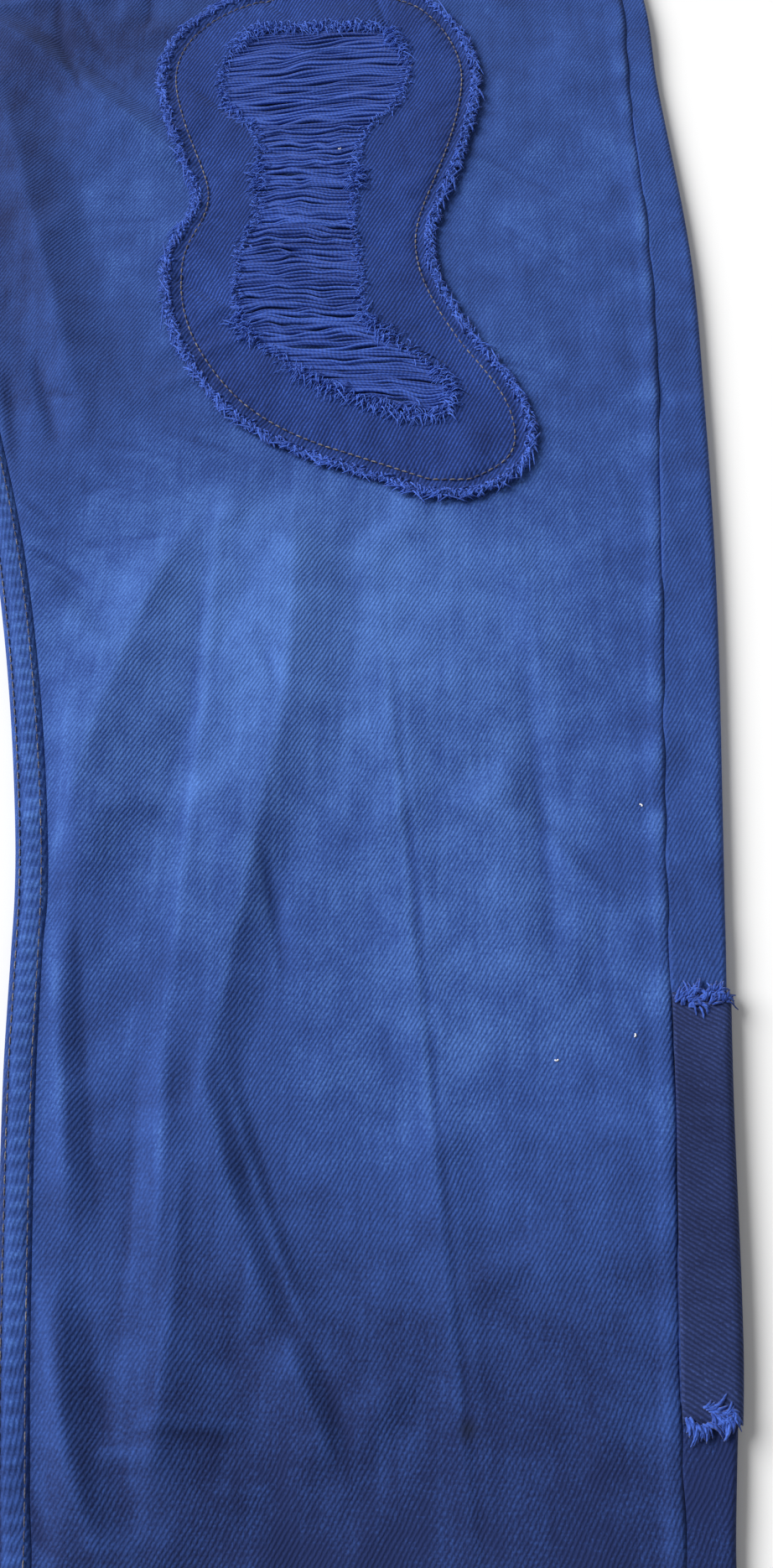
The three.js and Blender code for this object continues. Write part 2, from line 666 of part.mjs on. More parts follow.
// Points on the outside of the left leg's back, along its section, at a distance out from it
function backPatchSection(y) {
  const section = outerSection(y, panelTop(y), LIFT);
  section[0] = { ...section[0], x: section[0].x + SEAM_GAP };
  const last = section[section.length - 1];
  return [...section, { ...last, x: outerFold(y) - BACK_PATCH_REACH }];
}

function outFrom({ x, z, nx, nz }, y, thick) {
  const away = LAID_GAP / 2 + thick;
  const near = LAID_GAP / 2;
  return { outer: [x + nx * away, y, z + nz * away], inner: [x + nx * near, y, z + nz * near] };
}

const BACK_PATCH_WALL = LIFT - LAID_GAP / 2;
function addBackPatch(name) {
  const patchLevels = LEFT_LEVELS.filter((y) => y > BACK_PATCH_FOOT + 2 && y < BACK_PATCH_HEAD - 2);
  const rows = [BACK_PATCH_FOOT, ...patchLevels, BACK_PATCH_HEAD].map((y) => (
    backPatchSection(y).map((point) => outFrom(point, y, BACK_PATCH_WALL))
  ));
  addSheet(name, BACK_PATCH_DENIM, 1, rows.flat(), gridFaces(rows.length, rows[0].length));
}

// Frayed end of the back patch: a strip parted from its edge, with strands along the flat beside the outseam
function addBackFray(name, edge, way) {
  const backing = [];
  const tips = [];
  for (let i = 0; i < BACK_FRAY_TEETH; i += 1) {
    const reach = strandLength(i);
    for (const half of [-0.5, 0.5]) {
      const place = (away, width) => {
        const y = edge + way * away;
        const [seam, , fold] = backPatchSection(y);
        const pitch = (fold.x - seam.x) / BACK_FRAY_TEETH;
        const x = seam.x + (i + 0.5) * pitch + half * width;
        return outFrom({ ...seam, x }, y, THREAD_THICK);
      };
      backing.push(place(SEAM_GAP, FRAY_ROOT), place(SEAM_GAP + FRAY_STRIP, FRAY_ROOT));
      tips.push(place(SEAM_GAP + FRAY_STRIP + reach, FRAY_TIP));
    }
  }
  addSheet(name, FRAYED_YARN, 1, [...backing, ...tips], combFaces(BACK_FRAY_TEETH, false));
}

const FOLDED_FRONT_STEPS = 16;
const PLAIN_FRONT_STEPS = 10;
addFrontPanel('front_left', 1, LEFT_LEVELS, LEFT_FOLDS, FOLDED_FRONT_STEPS);
addFrontPanel('front_right', -1, RIGHT_LEVELS, RIGHT_FOLDS, PLAIN_FRONT_STEPS);
addBackPanel('back_left', 1, LEFT_LEVELS);
addBackPanel('back_right', -1, RIGHT_LEVELS);
addBackWaistband('waistband_back');
for (const [word, side] of [['left', 1], ['right', -1]]) {
  addYoke(`yoke_${word}`, side);
  addPocketFacing(`pocket_facing_${word}`, side);
  addFrontWaistband(`waistband_front_${word}`, side);
  addBackPocket(`back_pocket_${word}`, side);
  addBeltLoop(`belt_loop_front_${word}`, side * FRONT_LOOP_X, frontY, BAND_HEIGHT + SEAM_GAP);
  addBeltLoop(`belt_loop_back_${word}`, side * BACK_LOOP_X, backY, 0);
}
addBeltLoop('belt_loop_centre_back', 0, backY, 0);
addButton('waist_button');
addThighPatch('thigh_patch');
addRipThreads('rip_threads');
addPatchFray('thigh_patch_fray');
addBackPatch('back_patch');
addBackFray('back_patch_fray_upper', BACK_PATCH_HEAD, 1);
addBackFray('back_patch_fray_lower', BACK_PATCH_FOOT, -1);
jeans.position.y = -(HEM + WAIST_TOP + BACK_RISE) / 2;

export default jeans;
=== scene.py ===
"""Looks of the ripped jeans: cloth shells on the part's panels, patches, fray, loose threads and sewing.

Sizes are millimetres in the garment's own frame: X across from the centre front, levels along Y from the
crotch, Z up from the floor. add_mesh() moves them into the part's frame, in metres.
"""
import math

import bpy
import numpy as np
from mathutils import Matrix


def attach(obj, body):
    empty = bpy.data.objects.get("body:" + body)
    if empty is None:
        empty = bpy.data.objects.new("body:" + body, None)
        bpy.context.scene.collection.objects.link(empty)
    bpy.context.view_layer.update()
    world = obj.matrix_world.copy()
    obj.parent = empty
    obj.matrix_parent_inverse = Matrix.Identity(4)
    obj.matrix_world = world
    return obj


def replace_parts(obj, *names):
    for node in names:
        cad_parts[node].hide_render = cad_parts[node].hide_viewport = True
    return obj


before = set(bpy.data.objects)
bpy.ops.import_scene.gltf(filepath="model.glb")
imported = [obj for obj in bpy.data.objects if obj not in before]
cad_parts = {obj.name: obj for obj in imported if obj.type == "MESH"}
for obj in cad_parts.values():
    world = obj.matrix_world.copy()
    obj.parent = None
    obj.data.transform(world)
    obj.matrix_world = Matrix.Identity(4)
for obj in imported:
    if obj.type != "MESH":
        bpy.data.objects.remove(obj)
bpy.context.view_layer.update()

# Cloth and sewing, as in the part
WALL = 1.2
HEM_WALL = 1.9
BAND_WALL = 2.0
SEAM_GAP = 0.3
LAID_GAP = 0.4
SEAM_RAISE = 0.8
SEAM_EDGE = 4.0
FELL_WIDTH = 7.0
FELL_STUB = 0.9

# Levels from the crotch
HEM, HEM_TOP = -740.0, -727.0
FELL_END, CURL_FULL, CURL_HALF = -50.0, -12.0, -6.0
POCKET_FOOT, YOKE_SEAM, WAIST_SEAM, WAIST_TOP = 95.0, 172.0, 202.0, 240.0
SHAPE_FOOT = 60.0
POCKET_WIDTH = 95.0
BACK_RISE, FRONT_DIP, YOKE_VEE = 34.0, -14.0, 32.0
PHOTO_FOOT, PHOTO_HEAD = -492.0, 48.0  # the stretch that the camera sees
Y_SHIFT = -(HEM + WAIST_TOP + BACK_RISE) / 2

# Heights above the floor
LEG_TOP, WAIST_HEIGHT, BAND_HEIGHT = 5.0, 5.6, 6.2
LIFT = 1.5
FACING_HEIGHT, FACING_WALL, FACING_UNDERLAP = 4.1, 1.0, 10.0
FRONT_RISE = 52.0, 92.0  # levels between which the front rises to the waist's height
LIFT_AT_POCKETS = 0.0, 31.0  # levels between which the back rises over its pockets
LIFT_AT_PATCH = -486.0, -471.0  # and over the back patch
DROP_AT_PATCH = -338.0, -322.0


def table(columns, *rows):
    """A short table as one array for each named column."""
    return dict(zip(columns.split(), np.array(rows, float).T))


LEG = table(
    "y inner outer strip",
    (-740, 108, 262, 10),
    (-600, 104, 265, 11),
    (-486, 99.4, 270, 12),
    (-440, 95.2, 275, 14.6),
    (-375, 89.9, 279, 14.5),
    (-305, 85.6, 284.5, 16.8),
    (-220, 71.5, 290.6, 17),
    (-150, 52.6, 293.4, 15.6),
    (-85, 31, 294.5, 14.4),
    (0, 0, 289.5, 11),
    (42, 0, 288, 9),
    (95, 0, 280, 8),
    (150, 0, 261, 8),
    (202, 0, 236, 7),
    (240, 0, 217, 7),
)
BELOW_CROTCH = {name: column[LEG["y"] <= 0] for name, column in LEG.items()}

# Crests and troughs: ends of the line, how far it bows to its right, the widths of its left and right
# flanks going along it, its rise, and how sharp each foot is (1 is a crease, 2 is soft)
FOLD_COLUMNS = "x0 y0 x1 y1 bow left right rise left_foot right_foot"
LEFT_FOLDS = table(
    FOLD_COLUMNS,
    (134, -188, 95, -334, -6, 26, 25, 4.2, 1.5, 1),  # ridge beside the inseam
    (160, -190, 155, -292, 4, 27, 18, 3.7, 1, 1.3),  # ridge at the knee
    (156, -282, 140, -384, 1, 22, 10, 3.0, 1, 1.3),
    (142, -371, 162, -434, -1, 17, 8.5, 4.2, 1.2, 1),  # slanted fold with a sharp foot
    (149, -373, 172, -439, -1, 1.6, 18, 0.8, 1, 2),
    (165, -437, 178, -466, 0, 12, 5, 2.4, 1.3, 1),
    (99, -326, 112, -412, -1, 11, 6, 2.8, 1.3, 1),  # calf, beside the inseam
    (132, -362, 134, -420, 0, 7, 7, 3.0, 1, 1.3),
    (140, -386, 135, -474, 0, 12, 16, 4.0, 1, 1.3),
    (104, -420, 125, -486, -2, 13, 10, 4.4, 1, 1.3),
    (110, -478, 132, -545, 0, 10, 10, 2.4, 1.3, 1.3),
    (103, -464, 113, -484, 0, 2.5, 3, -0.9, 1, 1),
    (139, -189, 131, -378, 1, 3, 9, 0.7, 1, 1.5),  # lip of the crease between the two ridges
    (188, -222, 212, -505, 0, 11, 10, 0.9, 2, 2),  # old pressed crease
    (189.5, -226, 213.5, -500, 0, 1.6, 2.4, -0.4, 1, 1),
    (231, -240, 236, -348, 0, 10, 8, -1.1, 2, 2),
    (47, 2, 92, -158, 0, 14, 16, 3.6, 1.5, 1.2),  # from the crotch
    (38, 33, 116, -42, 0, 18, 9, 4.4, 1.2, 1),  # from the fly to the patch
    (66, 46, 83, -15, -4, 2.5, 4, -1.1, 1, 1.5),
    (72, 40, 87, 8, 0, 2.5, 4, -0.9, 1, 1.5),
    (101, 46, 101, 27, 0, 2.5, 4, -1.0, 1, 1.5),
    (66, -137, 72, -177, 0, 3, 6, -1.4, 1, 1.5),
    (74.5, -131, 85, -168, 0, 3, 6, -1.4, 1, 1.5),
    (79, -145.5, 91, -149.5, 0, 2.5, 3, -0.8, 1, 1.5),
    (117, -96, 140, -112, 0, 2.5, 4, -1.1, 1, 1.5),  # on the patch
    (119, -6, 142, -28, 0, 2.5, 4, -0.9, 1, 1.5),
    (142, 43, 157, 28, 0, 2.5, 4, -0.8, 1, 1.5),
    (186, 44, 191, 21, 0, 2.5, 4, -0.8, 1, 1.5),
    (179, -79, 197, -90, 0, 2.5, 4, -0.8, 1, 1.5),
    (199, -119, 215, -128, 0, 2.5, 4, -0.7, 1, 1.5),
    (92, -71, 112, -70, 0, 2, 3, -0.5, 1, 1.5),
    (100, -168, 124, -174, 1, 2, 3, -0.5, 1, 1.5),
    (94, -186, 112, -182, 0, 2, 3, -0.4, 1, 1.5),
    (131, -455, 156, -456.5, 0, 2.6, 7, 1.4, 1, 2),  # short creases across the calf
    (122, -462.5, 138, -463, 0, 2.2, 4, 1.0, 1, 2),
    (149, -470.5, 164, -470.5, 0, 2.2, 5, 0.6, 1, 2),
    (120, -481, 134, -483, 0, 2.4, 5, 0.7, 1, 2),
    (156, -308, 163, -345, 0, 2, 5, -0.8, 1, 1.5),
    (153, -243, 159, -260, 0, 2, 4, -0.5, 1, 1.5),
    (77, -206, 100, -221, 1, 2, 3, -0.8, 1, 1.5),
    (74, -187, 86, -197, 0, 2, 3, -0.7, 1, 1.5),
    (95, -206, 128, -203, 0, 2, 3, -0.45, 1, 1.5),
    (220, -36, 255, -63, 0, 2.5, 4, -0.55, 1, 1.5),  # beside the patch
    (225, -69, 259, -98, 0, 2.5, 4, -0.55, 1, 1.5),
    (216, -129, 244, -138, 0, 2, 3, -0.5, 1, 1.5),
    (118, -162, 146, -173, 0, 2.5, 3, -0.6, 1, 1.5),
    (30, 60, 130, 70, 6, 9, 9, 0.9, 2, 2),  # whiskers at the hip
    (26, 30, 96, 44, 5, 8, 9, 1.1, 2, 2),
    (170, -560, 205, -660, 0, 10, 12, 1.6, 2, 2),  # lower leg
    (215, -520, 236, -610, 0, 8, 10, 1.1, 2, 2),
)
RIGHT_FOLDS = table(
    FOLD_COLUMNS,
    (44, -8, 96, -170, -3, 13, 16, 2.0, 2, 2),
    (150, -222, 128, -392, -3, 18, 20, 2.6, 1, 2),
    (226, -262, 205, -424, 2, 12, 14, 1.6, 2, 2),
    (140, -425, 182, -562, 0, 16, 10, 2.2, 2, 1),
    (118, -330, 110, -440, 0, 9, 9, 1.7, 2, 1),
    (200, -90, 262, -130, 3, 8, 6, -0.6, 2, 2),
    (190, -30, 250, -58, 0, 6, 6, -0.5, 2, 2),
    (90, -210, 130, -204, 0, 5, 4, -0.5, 2, 2),
    (30, 60, 130, 68, 6, 9, 9, 1.0, 2, 2),
    (26, 30, 98, 40, 5, 8, 9, 1.1, 2, 2),
    (170, -590, 200, -690, 0, 10, 12, 1.5, 2, 2),
)

PATCH = table(
    "y left right",
    (-189, 203, 217),
    (-182, 187, 229),
    (-174, 166, 235.4),
    (-161, 144, 236.8),
    (-144, 129.7, 232),
    (-123, 119, 219),
    (-101, 114.7, 208.5),
    (-80, 116.3, 205),
    (-66, 124, 208.5),
    (-45, 118, 215.5),
    (-25, 111.4, 220.5),
    (0, 107, 223.5),
    (20, 111.5, 219.5),
    (35, 123, 211),
    (44, 137, 201),
    (49, 156, 186),
)
RIP = table(
    "y left right",
    (-157, 196, 208),
    (-147, 173, 211),
    (-133, 154, 201),
    (-120, 142, 184.5),
    (-88, 140.5, 180.5),
    (-72, 145.5, 178),
    (-55, 145.5, 179),
    (-28, 143.5, 182.5),
    (-16, 132.5, 193),
    (5, 131, 197),
    (24, 142, 190),
)
BACK_PATCH_FOOT, BACK_PATCH_HEAD, BACK_PATCH_REACH = -456.0, -350.0, 75.0

# Dye and wash, with painted light and shade: soft blobs of paler (+) or deeper (-) blue on the legs
WASH_AND_SHADE_BLOBS = table(
    "x y wide long amount",
    (148, -238, 42, 62, 0.6),
    (200, -205, 60, 40, 0.4),
    (214, -290, 50, 66, 0.5),
    (100, -262, 26, 60, 0.2),
    (235, -60, 40, 90, 0.1),
    (52, -60, 30, 80, -0.6),
    # painted shade above the crease that runs from the fly to the patch
    (62, 16, 22, 24, -0.4),
    # painted light in a shaded hollow between the calf's ridges
    (133, -312, 24, 44, 0.25),
    # painted shade above the crease that runs from the fly to the patch
    (96, 20, 26, 24, -0.5),
    # painted light on the flank below that crease
    (94, -62, 24, 40, 0.3),
    (88, -128, 20, 30, -0.1),
    (200, -375, 42, 38, 0.3),
    # painted shade: the next two blobs darken the leg towards its foot
    (200, -490, 120, 70, -0.7),
    (140, -600, 160, 110, -0.5),
    (150, 150, 160, 80, -0.25),
)


def fraction(low, high, value):
    """How far value is from low to high, kept between 0 and 1."""
    return np.clip((value - low) / (high - low), 0, 1)


def soft_step(low, high, value):
    """The same, eased at both ends."""
    t = fraction(low, high, value)
    return t * t * (3 - 2 * t)


def bell(distance, width):
    """1 at no distance, and 1 / e at the width."""
    return np.exp(-((distance / width) ** 2))


def uneven_waves(place, wave, sway, slow):
    """Waves along a seam: a sine of place / wave, whose phase sways by a slower sine."""
    return np.sin(place / wave + sway * np.sin(place / slow))


def along(rows, column, y):
    """Cubic through a table's column by level; a row's slope is that between its neighbours."""
    level, value = rows["y"], rows[column]
    index = np.arange(len(level))
    low, high = np.maximum(index - 1, 0), np.minimum(index + 1, len(level) - 1)
    slope = (value[high] - value[low]) / (level[high] - level[low])
    y = np.clip(y, level[0], level[-1])
    i = np.clip(np.searchsorted(level, y, side="right") - 1, 0, len(level) - 2)
    span = level[i + 1] - level[i]
    t = (y - level[i]) / span
    start, end, rise = slope[i] * span, slope[i + 1] * span, value[i + 1] - value[i]
    return value[i] + t * (start + t * (3 * rise - 2 * start - end + t * (start + end - 2 * rise)))


def outer_fold(y):
    """Outer edge of the leg in plan."""
    return along(LEG, "outer", y)


def inner_fold(y):
    """Inner edge of the leg in plan, and the centre line above the crotch."""
    return np.where(y >= 0, 0, along(BELOW_CROTCH, "inner", np.minimum(y, 0)))


def outseam(y):
    """The outseam: the outer edge less the strip of the back that shows beside it."""
    return outer_fold(y) - along(LEG, "strip", y)


def panel_top(y):
    """Height of the front's outside, before its folds."""
    return LEG_TOP + (WAIST_HEIGHT - LEG_TOP) * soft_step(*FRONT_RISE, y)


def wall_at(y):
    """Cloth thickness: more in the turned hem."""
    return np.where(y <= HEM_TOP, HEM_WALL, WALL)


def lift(y):
    """The back panel's underside: raised over the back pockets and the back patch."""
    over_patch = soft_step(*LIFT_AT_PATCH, y) * (1 - soft_step(*DROP_AT_PATCH, y))
    return LIFT * np.maximum(soft_step(*LIFT_AT_POCKETS, y), over_patch)


def waist_bend(level, x, amount):
    """Rows bend towards the waist at the centre, and not at the outseam."""
    across = np.maximum(1 - (x / outseam(level)) ** 2, 0)
    return amount * across * fraction(SHAPE_FOOT, WAIST_TOP, level) ** 2


def front_y(level, x):
    """Place of a front row: its level, dipped towards the centre near the waist."""
    return level + waist_bend(level, x, FRONT_DIP)


def back_y(level, x):
    """Place of a back row: its level, raised towards the centre near the waist, less the yoke's vee."""
    across = np.maximum(1 - np.abs(x) / outseam(level), 0)
    share = np.minimum(fraction(SHAPE_FOOT, YOKE_SEAM, level), 1 - fraction(YOKE_SEAM, WAIST_SEAM, level))
    return level + waist_bend(level, x, BACK_RISE) - YOKE_VEE * across * share


ROUND_SHARE, ROUND_MOST = 0.12, 0.8  # a crest's rounding: share of its narrower flank, and the most in mm
FADE_OUT = -0.12, 0.25  # a crest's ends: from where to where along it the height fades


def fold_height(folds, x, y):
    """Sum of crests: each runs along a bowed line, falls to a foot on either side, and fades at its ends.

    Height is rise * (1 - distance / flank) ^ foot, with the distance rounded off at the crest."""
    height = np.zeros(np.broadcast(x, y).shape)
    for row in zip(*folds.values()):
        x0, y0, x1, y1, bow, left, right, rise, left_foot, right_foot = row
        dx, dy = x1 - x0, y1 - y0
        length = math.hypot(dx, dy)
        t = ((x - x0) * dx + (y - y0) * dy) / length**2
        inside = np.clip(t, 0, 1)
        side = ((x - x0) * dy - (y - y0) * dx) / length + bow * 4 * inside * (1 - inside)
        rounding = min(ROUND_SHARE * left, ROUND_SHARE * right, ROUND_MOST)
        away = np.sqrt(side**2 + rounding**2) - rounding
        flank = np.clip(1 - away / np.where(side > 0, left, right), 0, 1)
        ends = soft_step(*FADE_OUT, t) * soft_step(*FADE_OUT, 1 - t)
        height += rise * ends * flank ** np.where(side > 0, left_foot, right_foot)
    return height


# Wear on crests, and painted shade in creases: reach and bend in mm, the most that counts, and how much it
# pales or deepens the dye
WEAR_REACH, WEAR_BEND, WEAR_MOST, WEAR_AND_SHADE = 2.0, 1.2, 0.8, 0.3


def crease_wear_and_shade(folds, x, y):
    """Rubbed crests are paler with wear, and creases deeper as painted shade: by how much the height bends
    over a short reach.
    """
    beside = fold_height(folds, x - WEAR_REACH, y) + fold_height(folds, x + WEAR_REACH, y)
    ahead = fold_height(folds, x, y - WEAR_REACH) + fold_height(folds, x, y + WEAR_REACH)
    bend = 4 * fold_height(folds, x, y) - beside - ahead
    return WEAR_AND_SHADE * np.clip(bend / WEAR_BEND, -WEAR_MOST, WEAR_MOST)


# Slack of laid cloth: wave vectors (turns across, turns along, for each 100 mm), height and phase
SLACK = table(
    "across along height phase",
    (1.1, 0.7, 0.22, 0.4),
    (-0.8, 1.3, 0.2, 2.1),
    (2.3, -0.6, 0.12, 1.2),
    (1.7, 2.1, 0.1, 4.0),
    (-3.1, 1.4, 0.06, 0.8),
    (4.4, 2.6, 0.045, 5.1),
    (-5.2, 4.1, 0.035, 3.3),
    (7.5, -3.2, 0.025, 2.7),
    (8.1, 6.3, 0.02, 1.9),
)


def slack(x, y):
    """Sum of low sine waves in several directions."""
    total = 0
    for across, up, height, phase in zip(*SLACK.values()):
        total = total + height * np.sin(2 * np.pi * (across * x + up * y) / 100 + phase)
    return total


def add_mesh(name, points, faces, material, uv=None, attributes=None):
    """A mesh object from garment points and quads; uv is in millimetres of cloth, one pair for each point."""
    points = np.asarray(points, float).reshape(-1, 3)
    faces = np.asarray(faces, np.int32)
    a, b, c, d = (points[faces[:, k]] for k in range(4))
    inside_out = np.sum(np.cross(b, c) * a + np.cross(c, d) * a) < 0
    if inside_out:
        faces = faces[:, ::-1]
    mesh = bpy.data.meshes.new(name)
    mesh.vertices.add(len(points))
    placed = (points + (0, Y_SHIFT, 0)) / 1000
    mesh.vertices.foreach_set("co", placed.astype(np.float32).ravel())
    mesh.loops.add(faces.size)
    mesh.loops.foreach_set("vertex_index", faces.ravel())
    mesh.polygons.add(len(faces))
    mesh.polygons.foreach_set("loop_start", np.arange(0, faces.size, 4, dtype=np.int32))
    mesh.polygons.foreach_set("use_smooth", np.ones(len(faces), bool))
    if uv is not None:
        layer = mesh.uv_layers.new(name="cloth")
        layer.data.foreach_set("uv", np.asarray(uv, np.float32).reshape(-1, 2)[faces.ravel()].ravel())
    for key, values in (attributes or {}).items():
        attribute = mesh.attributes.new(key, "FLOAT", "POINT")
        attribute.data.foreach_set("value", np.asarray(values, np.float32).ravel())
    mesh.update(calc_edges=True)
    mesh.validate()
    mesh.materials.append(material)
    piece = bpy.data.objects.new(f"{name}_look", mesh)
    bpy.context.scene.collection.objects.link(piece)
    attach(piece, "root")
    return piece


def grid_quads(rows, columns, closed=False):
    """Quads of a grid of points, row by row; a closed one joins its last column to its first."""
    i = np.arange(rows - 1)[:, None] * columns
    j = np.arange(columns if closed else columns - 1)[None, :]
    following = (j + 1) % columns
    quads = np.stack([i + j, i + following, i + following + columns, i + j + columns], -1)
    return quads.reshape(-1, 4)


def rim_pairs(rows, columns, closed):
    """The grid's border as pairs of neighbouring points, in the order of its quads."""
    index = np.arange(rows * columns).reshape(rows, columns)
    loops = [index[0], index[-1][::-1]]
    if closed:
        loops = [np.append(loop, loop[0]) for loop in loops]
    else:
        loops += [index[:, -1], index[::-1, 0]]
    return np.concatenate([np.stack([loop[:-1], loop[1:]], -1) for loop in loops])


def shell(outer, inner, closed=False):
    """A closed wall between two grids of the same size: both faces, and a rim along the border."""
    rows, columns = outer.shape[:2]
    quads = grid_quads(rows, columns, closed)
    rim = rim_pairs(rows, columns, closed)
    count = rows * columns
    sides = np.stack([rim[:, 1], rim[:, 0], rim[:, 0] + count, rim[:, 1] + count], -1)
    points = np.concatenate([outer.reshape(-1, 3), inner.reshape(-1, 3)])
    return points, np.concatenate([quads, quads[:, ::-1] + count, sides])


def add_cloth(name, outer, inner, uv, fade_and_shade, material, closed=False):
    """A cloth wall between two grids, which stands for the part's node of that name."""
    points, faces = shell(outer, inner, closed)
    attributes = {"fade_and_shade": np.stack([fade_and_shade, fade_and_shade])}
    piece = add_mesh(name, points, faces, material, np.stack([uv, uv]), attributes)
    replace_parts(piece, name)


def tubes(paths, radii, sides):
    """Closed tubes along many paths at once: a ring round each point, square to its path, and flat ends."""
    count, steps, _ = paths.shape
    run = np.gradient(paths, axis=1)
    run /= np.linalg.norm(run, axis=2, keepdims=True) + 1e-9
    across = np.cross(run, np.array([0.02, 0.03, 1.0]))
    across /= np.linalg.norm(across, axis=2, keepdims=True) + 1e-9
    over = np.cross(across, run)
    angle = 2 * np.pi * np.arange(sides) / sides
    spoke = np.cos(angle)[:, None] * across[:, :, None] + np.sin(angle)[:, None] * over[:, :, None]
    points = paths[:, :, None] + radii[:, :, None, None] * spoke
    j = np.arange(sides)
    following = (j + 1) % sides
    start = np.arange(count)[:, None, None] * steps * sides + np.arange(steps - 1)[None, :, None] * sides
    walls = np.stack([start + j, start + following, start + following + sides, start + j + sides], -1)
    fan = np.array([[0, 2 * k + 1, 2 * k + 2, 2 * k + 3] for k in range(sides // 2 - 1)])
    first = (np.arange(count) * steps * sides)[:, None, None]
    ends = np.concatenate([fan[None, :, ::-1] + first, fan[None] + first + (steps - 1) * sides])
    quads = np.concatenate([walls.reshape(-1, 4), ends.reshape(-1, 4)])
    return points.reshape(-1, 3), quads


def tube_uv(paths, sides):
    """Length along each tube and turns round it, for a yarn's twist."""
    step = np.linalg.norm(np.diff(paths, axis=1), axis=2)
    length = np.concatenate([np.zeros((len(paths), 1)), np.cumsum(step, axis=1)], axis=1)
    length = np.repeat(length[:, :, None], sides, axis=2)
    turn = np.broadcast_to(np.arange(sides) / sides, length.shape)
    return np.stack([length, turn], -1).reshape(-1, 2)


# Materials
def linear(colour):
    """sRGB hex to linear RGBA."""
    value = np.array([int(colour[k : k + 2], 16) / 255 for k in (1, 3, 5)])
    value = np.where(value <= 0.04045, value / 12.92, ((value + 0.055) / 1.055) ** 2.4)
    return (*value.tolist(), 1.0)


def add_node(tree, kind, inputs=None, colours=(), **settings):
    """Adds a shader node, sets it up, feeds its inputs with values or sockets, and gives its outputs.

    colours are those of a colour ramp, spread evenly."""
    made = tree.nodes.new("ShaderNode" + kind)
    for name, value in settings.items():
        setattr(made, name, value)
    for k in range(1, len(colours) - 1):
        made.color_ramp.elements.new(k / (len(colours) - 1))
    for k, colour in enumerate(colours):
        made.color_ramp.elements[k].color = linear(colour)
    for key, value in (inputs or {}).items():
        if isinstance(value, bpy.types.NodeSocket):
            tree.links.new(value, made.inputs[key])
        else:
            made.inputs[key].default_value = value
    return made.outputs


def new_material(name):
    """An empty material and its node tree."""
    material = bpy.data.materials.new(name)
    material.use_nodes = True
    material.node_tree.nodes.clear()
    return material, material.node_tree


def stained(tree, uv, wobble, colour, stain):
    """The colour with a round spot over it: full inside its radius, and ragged by the wobble at its edge."""
    x, y, radius, stain_colour = stain
    away = add_node(tree, "VectorMath", {0: uv, 1: (x, y, 0)}, operation="DISTANCE")["Value"]
    ragged = add_node(tree, "Math", {0: wobble, 1: radius * 0.9, 2: away}, operation="MULTIPLY_ADD")[0]
    cover = add_node(tree, "MapRange", {0: ragged, 1: radius * 1.7, 2: radius * 0.6, 3: 0.0, 4: 0.8})[0]
    mixed = {"Factor": cover, 6: colour, 7: linear(stain_colour)}
    return add_node(tree, "Mix", mixed, data_type="RGBA")[2]


def twill_ribs(tree, uv, wobble, nap, across, up):
    """Diagonal ribs from -0.5 to 0.5: a sine of x / across - y / up, in mm of cloth, pushed by two noises."""
    place = add_node(tree, "SeparateXYZ", {0: uv})
    turns = add_node(tree, "Math", {0: wobble, 1: 1.2}, operation="MULTIPLY")[0]
    for value, amount in ((place[0], 1 / across), (place[1], -1 / up), (nap, 0.7)):
        turns = add_node(tree, "Math", {0: value, 1: amount, 2: turns}, operation="MULTIPLY_ADD")[0]
    angle = add_node(tree, "Math", {0: turns, 1: 2 * math.pi}, operation="MULTIPLY")[0]
    wave = add_node(tree, "Math", {0: angle}, operation="SINE")[0]
    return add_node(tree, "MapRange", {0: wave, 1: -1.0, 3: -0.5, 4: 0.5})[0]


def yarn_and_streaks(tree, uv):
    """Uneven warp and weft yarns of about 0.5 mm, and long streaks 3 mm wide that the wash drags out."""
    noises = []
    for scale, detail in (((2.6, 0.07, 1.0), 2.0), ((0.3, 1.7, 1.0), 2.0), ((0.3, 0.018, 1.0), 3.0)):
        place = add_node(tree, "Mapping", {"Vector": uv, "Scale": scale})[0]
        noises.append(add_node(tree, "TexNoise", {"Vector": place, "Scale": 1.0, "Detail": detail})["Fac"])
    return noises


def wash_and_crumples(tree, uv):
    """Mottling of 15 mm and clouds of 90 mm from the wash, and ridged crumples of 30 mm."""
    mottled = {"Vector": uv, "Scale": 0.065, "Detail": 6.0, "Roughness": 0.62}
    clouded = {"Vector": uv, "Scale": 0.011, "Detail": 3.0}
    crumpled = {"Vector": uv, "Scale": 0.032, "Detail": 4.0, "Roughness": 0.55, "Distortion": 0.6}
    ridged = {"noise_type": "RIDGED_MULTIFRACTAL", "normalize": True}
    mottle = add_node(tree, "TexNoise", mottled)["Fac"]
    cloud = add_node(tree, "TexNoise", clouded)["Fac"]
    crumple = add_node(tree, "TexNoise", crumpled, **ridged)["Fac"]
    return mottle, cloud, crumple


